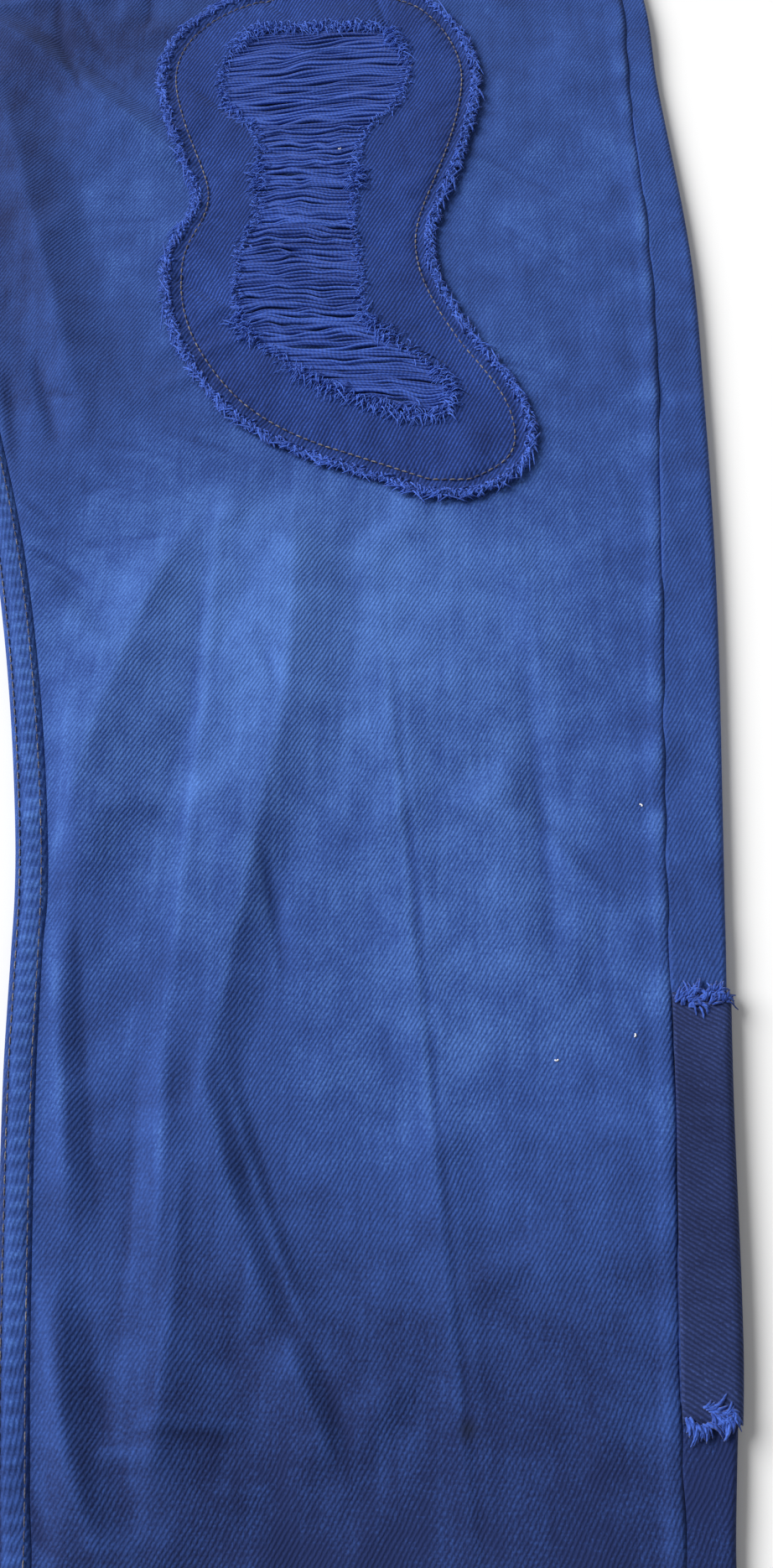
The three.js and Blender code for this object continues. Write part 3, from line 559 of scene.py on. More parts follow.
def twill_denim(name, deep, middle, pale, across=1.3, up=2.25, contrast=0.28, stains=()):
    """Overdyed cotton twill, washed: matt, with diagonal ribs, streaky yarn, soft mottling and a short nap.

    across and up are the rib's repeat in mm, and noise scales are turns in a mm of cloth. Tone is the piece's
    fade_and_shade, wash and wear with painted light and shade, plus the noises of yarn and wash, and picks
    the dye's colour from deep to pale."""
    material, tree = new_material(name)
    uv = add_node(tree, "UVMap", uv_map="cloth")[0]
    tone = add_node(tree, "Attribute", attribute_name="fade_and_shade")["Fac"]
    # Waves of 9 mm that bend the ribs, and a nap of 0.8 mm, coarser than real to show
    wobble = add_node(tree, "TexNoise", {"Vector": uv, "Scale": 0.11, "Detail": 1.0})["Fac"]
    nap = add_node(tree, "TexNoise", {"Vector": uv, "Scale": 1.3, "Detail": 3.0, "Roughness": 0.7})["Fac"]
    rib = twill_ribs(tree, uv, wobble, nap, across, up)
    warp, weft, drag = yarn_and_streaks(tree, uv)
    mottle, cloud, crumple = wash_and_crumples(tree, uv)
    parts = (warp, 0.6), (mottle, 1.3), (weft, 0.5), (cloud, 0.6), (nap, 1.6), (drag, 0.5), (crumple, 0.2)
    for part, amount in parts:
        tone = add_node(tree, "Math", {0: part, 1: amount, 2: tone}, operation="MULTIPLY_ADD")[0]
    tone = add_node(tree, "MapRange", {0: tone, 1: 1.75, 2: 3.75})[0]
    dyed = add_node(tree, "ValToRGB", {0: tone}, colours=(deep, middle, pale))[0]
    depth = add_node(tree, "MapRange", {0: nap, 1: 0.3, 2: 0.7, 3: 0.2 * contrast, 4: 1.4 * contrast})[0]
    shade = add_node(tree, "Math", {0: rib, 1: depth, 2: 1.0}, operation="MULTIPLY_ADD")[0]
    colour = add_node(tree, "VectorMath", {0: dyed, "Scale": shade}, operation="SCALE")[0]
    for stain in stains:
        colour = stained(tree, uv, wobble, colour, stain)
    height = add_node(tree, "Math", {0: warp, 1: 0.35, 2: rib}, operation="MULTIPLY_ADD")[0]
    folds = add_node(tree, "Bump", {"Height": crumple, "Strength": 0.6, "Distance": 0.005})[0]
    weave = {"Height": height, "Strength": 0.7, "Distance": 0.00018, "Normal": folds}
    surface = {
        "Base Color": colour,
        "Roughness": add_node(tree, "MapRange", {0: rib, 1: -0.5, 2: 0.5, 3: 0.95, 4: 0.82})[0],
        "Normal": add_node(tree, "Bump", weave)[0],
        "Specular IOR Level": 0.2,
        "Sheen Weight": 0.12,
        "Sheen Roughness": 0.5,
        "Sheen Tint": linear("#9fb4e6"),
    }
    add_node(tree, "OutputMaterial", {"Surface": add_node(tree, "BsdfPrincipled", surface)[0]})
    return material


def cotton_yarn(name, deep, pale, twist=1.4):
    """Loose cotton yarn: matt, two plies twisted round each other, each strand a little lighter or darker.

    The ply is a sine of length / twist, in mm, plus turns round the yarn; its lint is 0.8 mm noise."""
    material, tree = new_material(name)
    uv = add_node(tree, "UVMap", uv_map="cloth")[0]
    place = add_node(tree, "SeparateXYZ", {0: uv})
    tone = add_node(tree, "Attribute", attribute_name="tone")["Fac"]
    turns = add_node(tree, "Math", {0: place[0], 1: 1 / twist, 2: place[1]}, operation="MULTIPLY_ADD")[0]
    angle = add_node(tree, "Math", {0: turns, 1: 2 * math.pi}, operation="MULTIPLY")[0]
    ply = add_node(tree, "Math", {0: angle}, operation="SINE")[0]
    lint = add_node(tree, "TexNoise", {"Vector": uv, "Scale": 1.3, "Detail": 3.0})["Fac"]
    for part, amount in ((lint, 0.5), (ply, 0.1)):
        tone = add_node(tree, "Math", {0: part, 1: amount, 2: tone}, operation="MULTIPLY_ADD")[0]
    surface = {
        "Base Color": add_node(tree, "ValToRGB", {0: tone}, colours=(deep, pale))[0],
        "Roughness": 0.95,
        "Normal": add_node(tree, "Bump", {"Height": ply, "Strength": 0.5, "Distance": 0.0001})[0],
        "Specular IOR Level": 0.15,
        "Sheen Weight": 0.15,
        "Sheen Roughness": 0.5,
    }
    add_node(tree, "OutputMaterial", {"Surface": add_node(tree, "BsdfPrincipled", surface)[0]})
    return material


def antiqued_brass(name):
    """Pressed brass, chemically darkened and rubbed bright in spots of about a millimetre."""
    material, tree = new_material(name)
    where = add_node(tree, "TexCoord")["Object"]
    cloud = add_node(tree, "TexNoise", {"Vector": where, "Scale": 900.0, "Detail": 4.0})["Fac"]
    surface = {
        "Base Color": add_node(tree, "ValToRGB", {0: cloud}, colours=("#4a3d28", "#a58a58"))[0],
        "Metallic": 1.0,
        "Roughness": add_node(tree, "MapRange", {0: cloud, 3: 0.55, 4: 0.35})[0],
    }
    add_node(tree, "OutputMaterial", {"Surface": add_node(tree, "BsdfPrincipled", surface)[0]})
    return material


def painted_floor(name):
    """Matt white paint, a little uneven in its gloss."""
    material, tree = new_material(name)
    where = add_node(tree, "TexCoord")["Object"]
    cloud = add_node(tree, "TexNoise", {"Vector": where, "Scale": 3.0, "Detail": 2.0})["Fac"]
    rough = add_node(tree, "MapRange", {0: cloud, 3: 0.85, 4: 0.95})[0]
    surface = {"Base Color": linear("#f6f6f6"), "Roughness": rough}
    add_node(tree, "OutputMaterial", {"Surface": add_node(tree, "BsdfPrincipled", surface)[0]})
    return material


# A stain is its place and radius in millimetres of cloth, and its colour
STAIN = (209.0, -457.0, 2.6, "#1c2542")
DENIM = twill_denim("overdyed_denim", "#1c2a59", "#304e93", "#537cc6", stains=[STAIN])
PATCH_DENIM = twill_denim("patch_denim", "#15265c", "#243f85", "#4164b8", across=1.4, up=2.3, contrast=1.15)
BACK_PATCH_DENIM = twill_denim("back_patch_denim", "#1a2146", "#293766", "#43558f", contrast=0.9)
BLUE_YARN = cotton_yarn("loose_blue_yarn", "#172b72", "#4a6fd0")
SEWING_THREAD = cotton_yarn("grey_sewing_thread", "#2b3158", "#87827f", twist=0.9)
LINT = cotton_yarn("white_lint", "#c8ccd8", "#ffffff")
BRASS = antiqued_brass("antiqued_brass")


def wash_and_shade_at(x, y):
    """Sum of the soft blobs of wash, and of painted light and shade."""
    total = np.zeros(np.broadcast(x, y).shape)
    for x0, y0, wide, long, amount in zip(*WASH_AND_SHADE_BLOBS.values()):
        total += amount * np.exp(-(((x - x0) / wide) ** 2) - ((y - y0) / long) ** 2)
    return total


def fine_levels(start, stop, seen_step, other_step):
    """Levels for fine shells: close where the camera looks, wider elsewhere."""

    def stretch(low, high, step):
        """Even levels from low up to high, which is left out."""
        low, high = max(low, start), min(high, stop)
        if high <= low:
            return np.array([])
        return np.linspace(low, high, max(int(round((high - low) / step)), 1), endpoint=False)

    below = stretch(start, PHOTO_FOOT, other_step)
    seen = stretch(PHOTO_FOOT, PHOTO_HEAD, seen_step)
    above = stretch(PHOTO_HEAD, stop, other_step)
    return np.concatenate([below, seen, above, [stop]])


# Panels
def inseam_turn(y, low):
    """The inseam side of a section: its turn, the turn's length, the fell's width, and where it starts.

    A full turn is half a circle between the two layers; near the crotch it opens out flat."""
    radius = (panel_top(y) - low) / 2
    turn = np.pi * np.where(y <= CURL_FULL, 1, fraction(0, 2 * CURL_HALF, y))
    flat_length = FELL_STUB + SEAM_GAP
    length = flat_length + (np.pi * radius - flat_length) * turn / np.pi
    fell = FELL_STUB + (FELL_WIDTH - FELL_STUB) * fraction(CURL_FULL, FELL_END, y)
    start = inner_fold(y) + np.where(turn > 0, radius + SEAM_GAP, length + fell + SEAM_GAP / 2)
    return turn, length, fell, start


def front_inner(y):
    """Inner edge of a front panel: beside the fell on the leg, and the centre front above it."""
    turn, _, fell, start = inseam_turn(y, lift(y))
    below = start + fell * np.maximum(-np.cos(turn), 0) + SEAM_GAP
    return np.where(y >= 0, SEAM_GAP / 2, below)


def front_outer(y):
    """Outer edge of a front panel: the outseam, less the pocket's quarter ellipse."""
    drop = (WAIST_SEAM - y) / (WAIST_SEAM - POCKET_FOOT)
    scoop = np.where(y <= POCKET_FOOT, 0, POCKET_WIDTH * np.sqrt(np.maximum(1 - drop**2, 0)))
    return outseam(y) - SEAM_GAP - scoop


def front_height(folds, x, y):
    """Outside of a front panel, away from its raised edge: the stack's height, its folds and its slack."""
    return panel_top(y) + fold_height(folds, x, y) + slack(x, y)


EDGE_RAISE, EDGE_ROLL, ROLL_WIDTH = 0.7 * SEAM_RAISE, 0.9, 1.5  # the front's edge along the outseam
EDGE_PUCKER, EDGE_PUCKER_REACH = 0.18, 7.0
TUCK, TUCK_WIDTH, CALM_WIDTH = 0.15, 1.2, 9.0  # beside the fell: a dip, and a stretch with no folds


def add_front(name, side, folds, levels, columns):
    """Front panel: a height over the plan, from the inseam or centre front to the outseam or pocket.

    The height is the stack's, plus folds and slack away from the fell, plus the puckered outseam edge."""
    level = levels[:, None]
    share = np.linspace(0, 1, columns)[None, :]
    low, high = front_inner(level) - 2 * SEAM_GAP, front_outer(level) + 2 * SEAM_GAP
    x = low + (high - low) * share
    y = front_y(level, x)
    edge = soft_step(SEAM_EDGE + 2, SEAM_EDGE - 1, high - x) - EDGE_ROLL * soft_step(ROLL_WIDTH, 0, high - x)
    edge = EDGE_RAISE * edge
    pucker = EDGE_PUCKER * uneven_waves(level, 4.1, 1.3, 23) * np.exp(-((high - x) / EDGE_PUCKER_REACH))
    tuck = TUCK * soft_step(TUCK_WIDTH, 0, x - low) * (level < 0)
    calm = 1 - (1 - soft_step(0, CALM_WIDTH, x - low)) * (level < FELL_END)
    z = panel_top(level) + (fold_height(folds, x, level) + slack(x, level)) * calm + edge + pucker - tuck
    outer = np.stack([side * x, y, z], -1)
    inner = outer - np.stack([0 * x, 0 * x, wall_at(level) + 0 * x], -1)
    # tone: the blobs, and the creases' wear and painted shade; the raised outseam edge paler, partly rubbed
    # and partly a painted highlight; its puckers paler on crests and darker in troughs, partly wear and
    # partly painted light and shade
    fade_and_shade = wash_and_shade_at(x, level) + crease_wear_and_shade(folds, x, level) + 0.3 * edge + 1.2 * pucker
    add_cloth(name, outer, inner, np.stack([side * x, y], -1), fade_and_shade, DENIM)


def outer_section(y, top, low):
    """Strip beside the outseam and the outer fold: places and outward normals, one row for each level."""
    radius = (top - low) / 2
    centre = outer_fold(y) - radius
    seam = outseam(y)
    strip = np.linspace(0, 1, 12, endpoint=False)[None, :]
    angle = np.linspace(np.pi / 2, -np.pi / 2, 11)[None, :]
    x = np.concatenate([seam + (centre - seam) * strip, centre + radius * np.cos(angle)], 1)
    z = np.concatenate([top + 0 * seam + 0 * strip, low + radius + radius * np.sin(angle)], 1)
    nx = np.concatenate([0 * seam + 0 * strip, np.cos(angle) + 0 * seam], 1)
    nz = np.concatenate([1 + 0 * seam + 0 * strip, np.sin(angle) + 0 * seam], 1)
    return x, z, nx, nz


def back_section(y):
    """A whole back section: the outer part, the underside, the inseam's turn and the fell on top.

    Gives places and outward normals, how far the fell is raised, and each point's share of the fell."""
    low = lift(y)
    x, z, nx, nz = outer_section(y, panel_top(y), low)
    turn, length, fell, start = inseam_turn(y, low)
    under = np.linspace(0, 1, 9)[None, 1:-1]
    x_under = x[:, -1:] + (start - x[:, -1:]) * under
    share = np.linspace(0, 1, 11)[None, :]
    angle = turn * share
    bend = np.where(turn > 0, turn, 1)
    x_turn = start - np.where(turn > 0, length / bend * np.sin(angle), length * share)
    z_turn = low + np.where(turn > 0, length / bend * (1 - np.cos(angle)), 0 * share)
    out = np.linspace(0, 1, 9)[None, 1:]
    crown = soft_step(0, 0.3, out) - 0.95 * soft_step(0.7, 1, out)
    raise_fell = SEAM_RAISE * fraction(CURL_FULL, FELL_END, y) * crown
    x_fell = x_turn[:, -1:] - fell * out * np.cos(turn)
    z_fell = z_turn[:, -1:] + fell * out * np.sin(turn) + raise_fell
    flat = 0 * y
    nx_all = [nx, flat + 0 * under, -np.sin(angle), -np.sin(turn) + 0 * out]
    nz_all = [nz, flat - 1 + 0 * under, -np.cos(angle), -np.cos(turn) + 0 * out]
    x_all = np.concatenate([x, x_under, x_turn, x_fell], 1)
    z_all = np.concatenate([z, low + 0 * under, z_turn, z_fell], 1)
    extra = np.concatenate([0 * x, 0 * x_under, 0 * x_turn, raise_fell], 1)
    fell_share = np.concatenate([0 * x, 0 * x_under, 0 * x_turn, out + flat], 1)
    return x_all, z_all, np.concatenate(nx_all, 1), np.concatenate(nz_all, 1), extra, fell_share


def section_length(x, z):
    """Length along each section, from its first point."""
    step = np.hypot(np.diff(x, axis=1), np.diff(z, axis=1))
    return np.concatenate([np.zeros((len(x), 1)), np.cumsum(step, axis=1)], axis=1)


FELL_PUCKER, FELL_PALER = 0.3, 0.2
# The back takes a share of the front's blobs, painted light and shade among them, and painted shade deepens
# the strip beside the outseam lower down the leg.
BACK_WASH, STRIP_PAINTED_SHADE = 0.6, 0.45  # share of the front's fade, and how much deeper the strip is lower down
STRIP_SHADE_LEVELS = -260.0, -440.0  # levels between which it deepens


def add_back(name, side, levels, wall=None):
    """Back panel or yoke: the section carried along the levels, with a wall inwards and a puckered fell."""
    level = levels[:, None]
    x, z, nx, nz, extra, fell_share = back_section(level)
    y = back_y(level, x)
    thick = (wall_at(level) if wall is None else wall) + extra
    pucker = FELL_PUCKER * uneven_waves(level, 0.66, 1.1, 13) * np.sin(np.pi * fell_share) * (extra > 0)
    outer = np.stack([side * x, y, z + pucker], -1)
    inner = np.stack([side * (x - nx * thick), y, z - nz * thick], -1)
    seam = outseam(level)
    uv = np.stack([side * (seam + section_length(x, z)), y], -1)
    # the fell paler with wear, and its puckers paler on crests and darker in troughs, partly wear and partly
    # painted light and shade
    fade_and_shade = BACK_WASH * wash_and_shade_at(np.minimum(x, seam), level) + (FELL_PALER + 0.9 * pucker) * (extra > 0)
    # painted shade on the strip that shows beside the outseam, darker lower down the leg
    seen_strip = (z > lift(level) + 1) * (extra == 0)
    fade_and_shade = fade_and_shade - STRIP_PAINTED_SHADE * soft_step(*STRIP_SHADE_LEVELS, level) * seen_strip
    add_cloth(name, outer, inner, uv, fade_and_shade, DENIM)


def add_plate(name, side, x, y, z, wall, turned=False):
    """A plain piece of cloth as a height over a grid in plan."""
    outer = np.stack([side * x, y, z + 0 * x], -1)
    inner = outer - np.stack([0 * x, 0 * x, wall + 0 * x], -1)
    uv = np.stack([y, side * x], -1) if turned else np.stack([side * x, y], -1)
    add_cloth(name, outer, inner, uv, -0.15 + 0.2 * slack(x * 1.7, y * 1.3), DENIM)


def add_pocket_facing(name, side):
    """Pocket facing: under the front along the scoop, rising to the outseam."""
    close_levels = POCKET_FOOT + np.array([0.8, 2, 4, 7])
    level = np.concatenate([close_levels, np.linspace(106, WAIST_SEAM, 24)])[:, None]
    share = np.linspace(0, 1, 30)[None, :]
    edge, seam = front_outer(level), outseam(level) - SEAM_GAP
    x = edge - FACING_UNDERLAP + (seam - edge + FACING_UNDERLAP) * share
    z = FACING_HEIGHT + (WAIST_HEIGHT - FACING_HEIGHT) * fraction(edge + LAID_GAP, seam, x)
    add_plate(name, side, x, front_y(level, x), z, FACING_WALL)


def add_back_waistband(name):
    """Back waistband: from outseam to outseam, round both outer folds."""
    level = np.linspace(WAIST_SEAM + SEAM_GAP, WAIST_TOP, 20)[:, None]
    x, z, nx, nz = outer_section(level, BAND_HEIGHT + 0 * level, LIFT + 0 * level)
    middle = np.linspace(1, -1, 62)[None, 1:-1]
    x_all = np.concatenate([x, x[:, -1:] * middle, -x[:, ::-1]], 1)
    z_all = np.concatenate([z, LIFT + 0 * level + 0 * middle, z[:, ::-1]], 1)
    nx_all = np.concatenate([nx, 0 * level + 0 * middle, -nx[:, ::-1]], 1)
    nz_all = np.concatenate([nz, 0 * level - 1 + 0 * middle, nz[:, ::-1]], 1)
    y = back_y(level, x_all)
    outer = np.stack([x_all, y, z_all], -1)
    inner = np.stack([x_all - nx_all * BAND_WALL, y, z_all - nz_all * BAND_WALL], -1)
    uv = np.stack([y, section_length(x_all, z_all)], -1)
    add_cloth(name, outer, inner, uv, -0.1 + 0.2 * slack(x_all * 1.7, y * 1.3), DENIM)


def add_front_waistband(name, side):
    """Front waistband: a flat strip, a little rounded along its two edges."""
    level = np.linspace(WAIST_SEAM + SEAM_GAP, WAIST_TOP, 20)[:, None]
    share = np.linspace(0, 1, 60)[None, :]
    x = SEAM_GAP / 2 + (outseam(level) - 1.5 * SEAM_GAP) * share
    crown = 0.4 * np.abs((level - level.mean()) / 19) ** 6
    z = BAND_HEIGHT - crown + 0.12 * np.sin(x / 7) + 0 * x
    add_plate(name, side, x, front_y(level, x), z, BAND_WALL - 0.5, turned=True)


LOOP_FOOT, LOOP_HALF, LOOP_ROLL = 196.0, 5.0, 0.35
LOOP_FRONT_X, LOOP_BACK_X = 100.0, 150.0
PATCHED_WALL = 1.2  # cloth of the belt loops and back pockets


def add_belt_loop(name, x_centre, bend_y, low, under):
    """Belt loop: a strip with rolled edges, over the waistband on the front or under it on the back."""
    level = np.linspace(LOOP_FOOT, WAIST_TOP, 24)[:, None]
    across = np.linspace(-LOOP_HALF, LOOP_HALF, 13)[None, :]
    roll = 0 if under else LOOP_ROLL * (across / LOOP_HALF) ** 4
    z = low + PATCHED_WALL - roll + 0 * across + 0 * level
    x = x_centre + across + 0 * level
    y = bend_y(level, x_centre + 0 * across)
    add_plate(name, 1, x, y, z, PATCHED_WALL)


def add_back_pocket(name, side):
    """Back pocket: five-sided, flat under the back panel."""
    inner, outer, top, foot, point = 70.0, 200.0, 152.0, 52.0, 38.0
    across = np.linspace(0, 1, 31)[None, :]
    up = np.linspace(0, 1, 26)[:, None]
    x = inner + (outer - inner) * across + 0 * up
    bottom = point + (foot - point) * np.abs(2 * across - 1)
    y = bottom + (top - bottom) * up
    add_plate(name, side, x, y, PATCHED_WALL + 0 * x, PATCHED_WALL)


BUTTON_X, BUTTON_RADIUS = 11.0, 8.5
# Button profile: share of its radius, and height in millimetres
BUTTON_SHARE = 0.001, 0.52, 0.56, 0.72, 0.95, 1, 1, 0.96, 0.9, 0.82, 0.75, 0.7, 0.55, 0.3, 0.12, 0.001
BUTTON_HEIGHT = 0, 0, 0.5, 0.85, 0.95, 1.3, 1.7, 2.15, 2.35, 2.4, 2.25, 1.95, 1.85, 1.9, 2.1, 2.15


def add_button(name):
    """Shank button: a turned profile round its axis, with a rolled rim and a dished face."""
    angle = np.linspace(0, 2 * np.pi, 64, endpoint=False)[None, :]
    reach = np.array(BUTTON_SHARE)[:, None] * BUTTON_RADIUS
    x = BUTTON_X + reach * np.cos(angle)
    y = front_y((WAIST_SEAM + WAIST_TOP) / 2, BUTTON_X) + reach * np.sin(angle)
    z = BAND_HEIGHT + SEAM_GAP + np.array(BUTTON_HEIGHT)[:, None] + 0 * angle
    points = np.stack([x, y, z], -1)
    rows, columns = points.shape[:2]
    k = np.arange(columns // 2 - 1)
    fan = np.stack([0 * k, 2 * k + 1, 2 * k + 2, 2 * k + 3], -1)
    faces = np.concatenate([grid_quads(rows, columns, True), fan[:, ::-1], fan + (rows - 1) * columns])
    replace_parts(add_mesh(name, points, faces, BRASS), name)


# Patches
def edge_outline(rows, steps, smooth):
    """Closed outline of a table of two edges, up the left and down the right, with its corners rounded."""
    share = 0.5 - np.cos(np.pi * np.arange(steps + 1) / steps) / 2
    y = rows["y"][0] + (rows["y"][-1] - rows["y"][0]) * share
    left = np.stack([along(rows, "left", y), y], -1)
    right = np.stack([along(rows, "right", y), y], -1)
    outline = np.concatenate([left, right[::-1]])
    return smoothed(outline, smooth)


def smoothed(outline, times):
    """A closed outline, each point moved halfway to the middle of its neighbours as many times."""
    for _ in range(times):
        outline = (np.roll(outline, 1, 0) + 2 * outline + np.roll(outline, -1, 0)) / 4
    return outline


def outline_normals(outline):
    """Outward normals and directions of a closed outline that runs up its left side."""
    run = np.roll(outline, -1, 0) - np.roll(outline, 1, 0)
    run /= np.linalg.norm(run, axis=1, keepdims=True)
    return np.stack([-run[:, 1], run[:, 0]], -1), run


def even_steps(outline, pitch):
    """Places at an even pitch along a closed outline, with their outward normals and directions."""
    closed = np.concatenate([outline, outline[:1]])
    length = np.concatenate([[0], np.cumsum(np.linalg.norm(np.diff(closed, axis=0), axis=1))])
    count = int(round(length[-1] / pitch))
    at = length[-1] * np.arange(count) / count
    places = np.stack([np.interp(at, length, closed[:, k]) for k in (0, 1)], -1)
    normals, run = outline_normals(places)
    return places, normals, run


PATCH_STEPS = 300
PATCH_RIM = edge_outline(PATCH, PATCH_STEPS, 40)
RIP_RIM = edge_outline(RIP, PATCH_STEPS, 12)
STITCH_INSET = 5.8
RIM_CURL, RIM_CURL_WIDTH = 0.5, 2.2
FURROW, FURROW_WIDTH = 0.4, 1.3
PATCH_PUCKER, PATCH_PUCKER_WIDTH = 0.16, 5.0


def thigh_height(x, y):
    """Outside of the left front, under the patch."""
    return front_height(LEFT_FOLDS, x, y)


def patch_face(x, y):
    """Outside of the thigh patch, without its rim and stitching."""
    return thigh_height(x, y) + LAID_GAP + WALL


def patch_lift(inset, phase):
    """Patch above the panel: a rim that curls up, a furrow along its topstitching, and puckers between."""
    curl = RIM_CURL * bell(inset, RIM_CURL_WIDTH)
    furrow = -FURROW * bell(inset - STITCH_INSET, FURROW_WIDTH)
    pucker = PATCH_PUCKER * np.sin(phase) * bell(inset - STITCH_INSET, PATCH_PUCKER_WIDTH)
    return LAID_GAP + WALL + curl + furrow + pucker


def add_thigh_patch(name):
    """Thigh patch: a ring of cloth from its rim to the ragged edge of the rip."""
    rng = np.random.default_rng(11)
    # Ragged by noise that is averaged over five neighbours, and less where the outline's points crowd
    ragged = np.convolve(np.tile(rng.normal(0, 1.6, len(RIP_RIM)), 3), np.ones(5) / 5, "same")
    normal, _ = outline_normals(RIP_RIM)
    spacing = np.linalg.norm(np.roll(RIP_RIM, -1, 0) - np.roll(RIP_RIM, 1, 0), axis=1) / 2
    ragged = ragged[len(RIP_RIM) : 2 * len(RIP_RIM)] * np.clip(spacing / 0.9, 0, 1) ** 2
    hole = RIP_RIM + normal * ragged[:, None]
    share = np.linspace(0, 1, 36)[:, None, None]
    plan = hole[None] + (PATCH_RIM - hole)[None] * share
    inset = np.linalg.norm(plan - PATCH_RIM[None], axis=2)
    phase = np.arange(len(PATCH_RIM))[None, :] * 1.1 + 0 * inset
    x, y = plan[:, :, 0], plan[:, :, 1]
    z = thigh_height(x, y) + patch_lift(inset, phase)
    outer = np.stack([x, y, z], -1)
    inner = outer - np.array([0, 0, WALL])
    uv = np.stack([x * 0.995 + y * 0.1, y * 0.995 - x * 0.1], -1)  # the patch's grain is turned a little
    fade_and_shade = -0.05 + 0.35 * slack(x * 1.3, y * 1.1) - 0.2 * bell(inset - STITCH_INSET, 2)
    add_cloth(name, outer, inner, uv, fade_and_shade, PATCH_DENIM, closed=True)


def add_yarn(name, paths, radii, tone, sides=4, material=BLUE_YARN, slot="frayed_yarn"):
    """Many lengths of yarn as one piece; tone is one number for each length."""
    points, faces = tubes(paths, radii, sides)
    tones = np.repeat(np.asarray(tone, float), paths.shape[1] * sides)
    return add_mesh(name, points, faces, material, tube_uv(paths, sides), {"tone": tones})


def add_layers(name, layers, rng, tones, **more):
    """Layers of yarn ends or stitches as one piece, each with a tone of its own between two."""
    paths = np.concatenate([layer_paths for layer_paths, _ in layers])
    radii = np.concatenate([layer_radii for _, layer_radii in layers])
    return add_yarn(name, paths, radii, rng.uniform(*tones, len(paths)), **more)


def value_noise(rng, shape, knots):
    """Smooth random values over a grid: random knots, blended with eased steps along both axes."""
    coarse = rng.normal(0, 1, (knots[0] + 2, knots[1] + 2))
    at = [np.linspace(0, knot, count) for knot, count in zip(knots, shape)]
    i, j = at[0].astype(int)[:, None], at[1].astype(int)[None, :]
    down, right = soft_step(0, 1, at[0][:, None] - i), soft_step(0, 1, at[1][None, :] - j)
    upper = coarse[i, j] * (1 - right) + coarse[i, j + 1] * right
    lower = coarse[i + 1, j] * (1 - right) + coarse[i + 1, j + 1] * right
    return upper * (1 - down) + lower * down


THREAD_PITCH, THREAD_RADII = 1.08, (0.46, 0.66)
THREAD_OVERLAP, THREAD_OVERLAP_MORE = 1.6, 1.2  # at each end, under the patch


def add_rip_threads(name):
    """Weft threads across the rip: nearly straight, crowding together and parting, each at its own height.

    A thread's place is its level plus a slant across the rip, plus smooth noise that all threads share
    and a sine of its own, both fading towards its ends; its height is an arch with a small ripple."""
    rng = np.random.default_rng(5)
    level = np.arange(RIP["y"][0] + 1.5, RIP["y"][-1] - 0.8, THREAD_PITCH)
    level = level + rng.normal(0, 0.18, len(level))
    share = np.linspace(0, 1, 44)[None, :]
    over = THREAD_OVERLAP + rng.uniform(0, THREAD_OVERLAP_MORE, (2, len(level)))
    low = along(RIP, "left", level) - over[0]
    high = along(RIP, "right", level) + over[1]
    x = low[:, None] + (high - low)[:, None] * share
    middle = (low + high)[:, None] / 2
    slant = 0.13 * soft_step(-90, 10, level) - 0.05 * soft_step(-110, -150, level)
    bend = slant[:, None] * (x - middle)
    crowd = 1.1 * value_noise(rng, x.shape, (len(level) // 7, 4))
    crowd += 0.5 * value_noise(rng, x.shape, (len(level) // 3, 9))
    own = rng.normal(0, 0.5, (len(level), 1)) * np.sin(x / 6 + rng.uniform(0, 6.3, (len(level), 1)))
    y = level[:, None] + bend + (crowd + own) * np.sin(np.pi * share) ** 0.5
    arch = np.sin(np.pi * share) * rng.uniform(-0.1, 0.7, (len(level), 1))
    z = thigh_height(x, y) + LAID_GAP + 0.75 + arch + 0.2 * np.sin(x / 5 + 9 * level[:, None])
    paths = np.stack([x, y, z], -1)
    radii = rng.uniform(*THREAD_RADII, (len(level), 1)) * (1 - 0.25 * np.abs(2 * share - 1) ** 6)
    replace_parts(add_yarn(name, paths, radii, rng.uniform(0.0, 0.45, len(level)), sides=6), name)


def tufts(places, normals, run, rng, length, radius, rise, sink, spread, base_height):
    """Short curved yarn ends: each leaves its place along the normal, leans, rises and falls over.

    The path is place + normal * reach * t + run * (lean * t + curl * t^2); its height is an arch that
    ends lower than it began by sink."""
    count = len(places)
    t = np.linspace(0, 1, 6)[None, :]
    reach = length * rng.uniform(0.6, 1.15, (count, 1))
    lean = rng.normal(0, spread, (count, 1)) * reach
    curl = rng.normal(0, 0.35, (count, 1)) * reach
    out = reach * t
    sideways = lean * t + curl * t**2
    x = places[:, :1] + normals[:, :1] * out + run[:, :1] * sideways
    y = places[:, 1:] + normals[:, 1:] * out + run[:, 1:] * sideways
    up = rise * rng.uniform(0.5, 1.4, (count, 1)) * np.sin(np.pi * t**0.8) - sink * t**2
    z = base_height(x, y) + up
    radii = radius * rng.uniform(0.7, 1.25, (count, 1)) * (1 - 0.55 * t**3)
    return np.stack([x, y, z], -1), radii + 0 * x


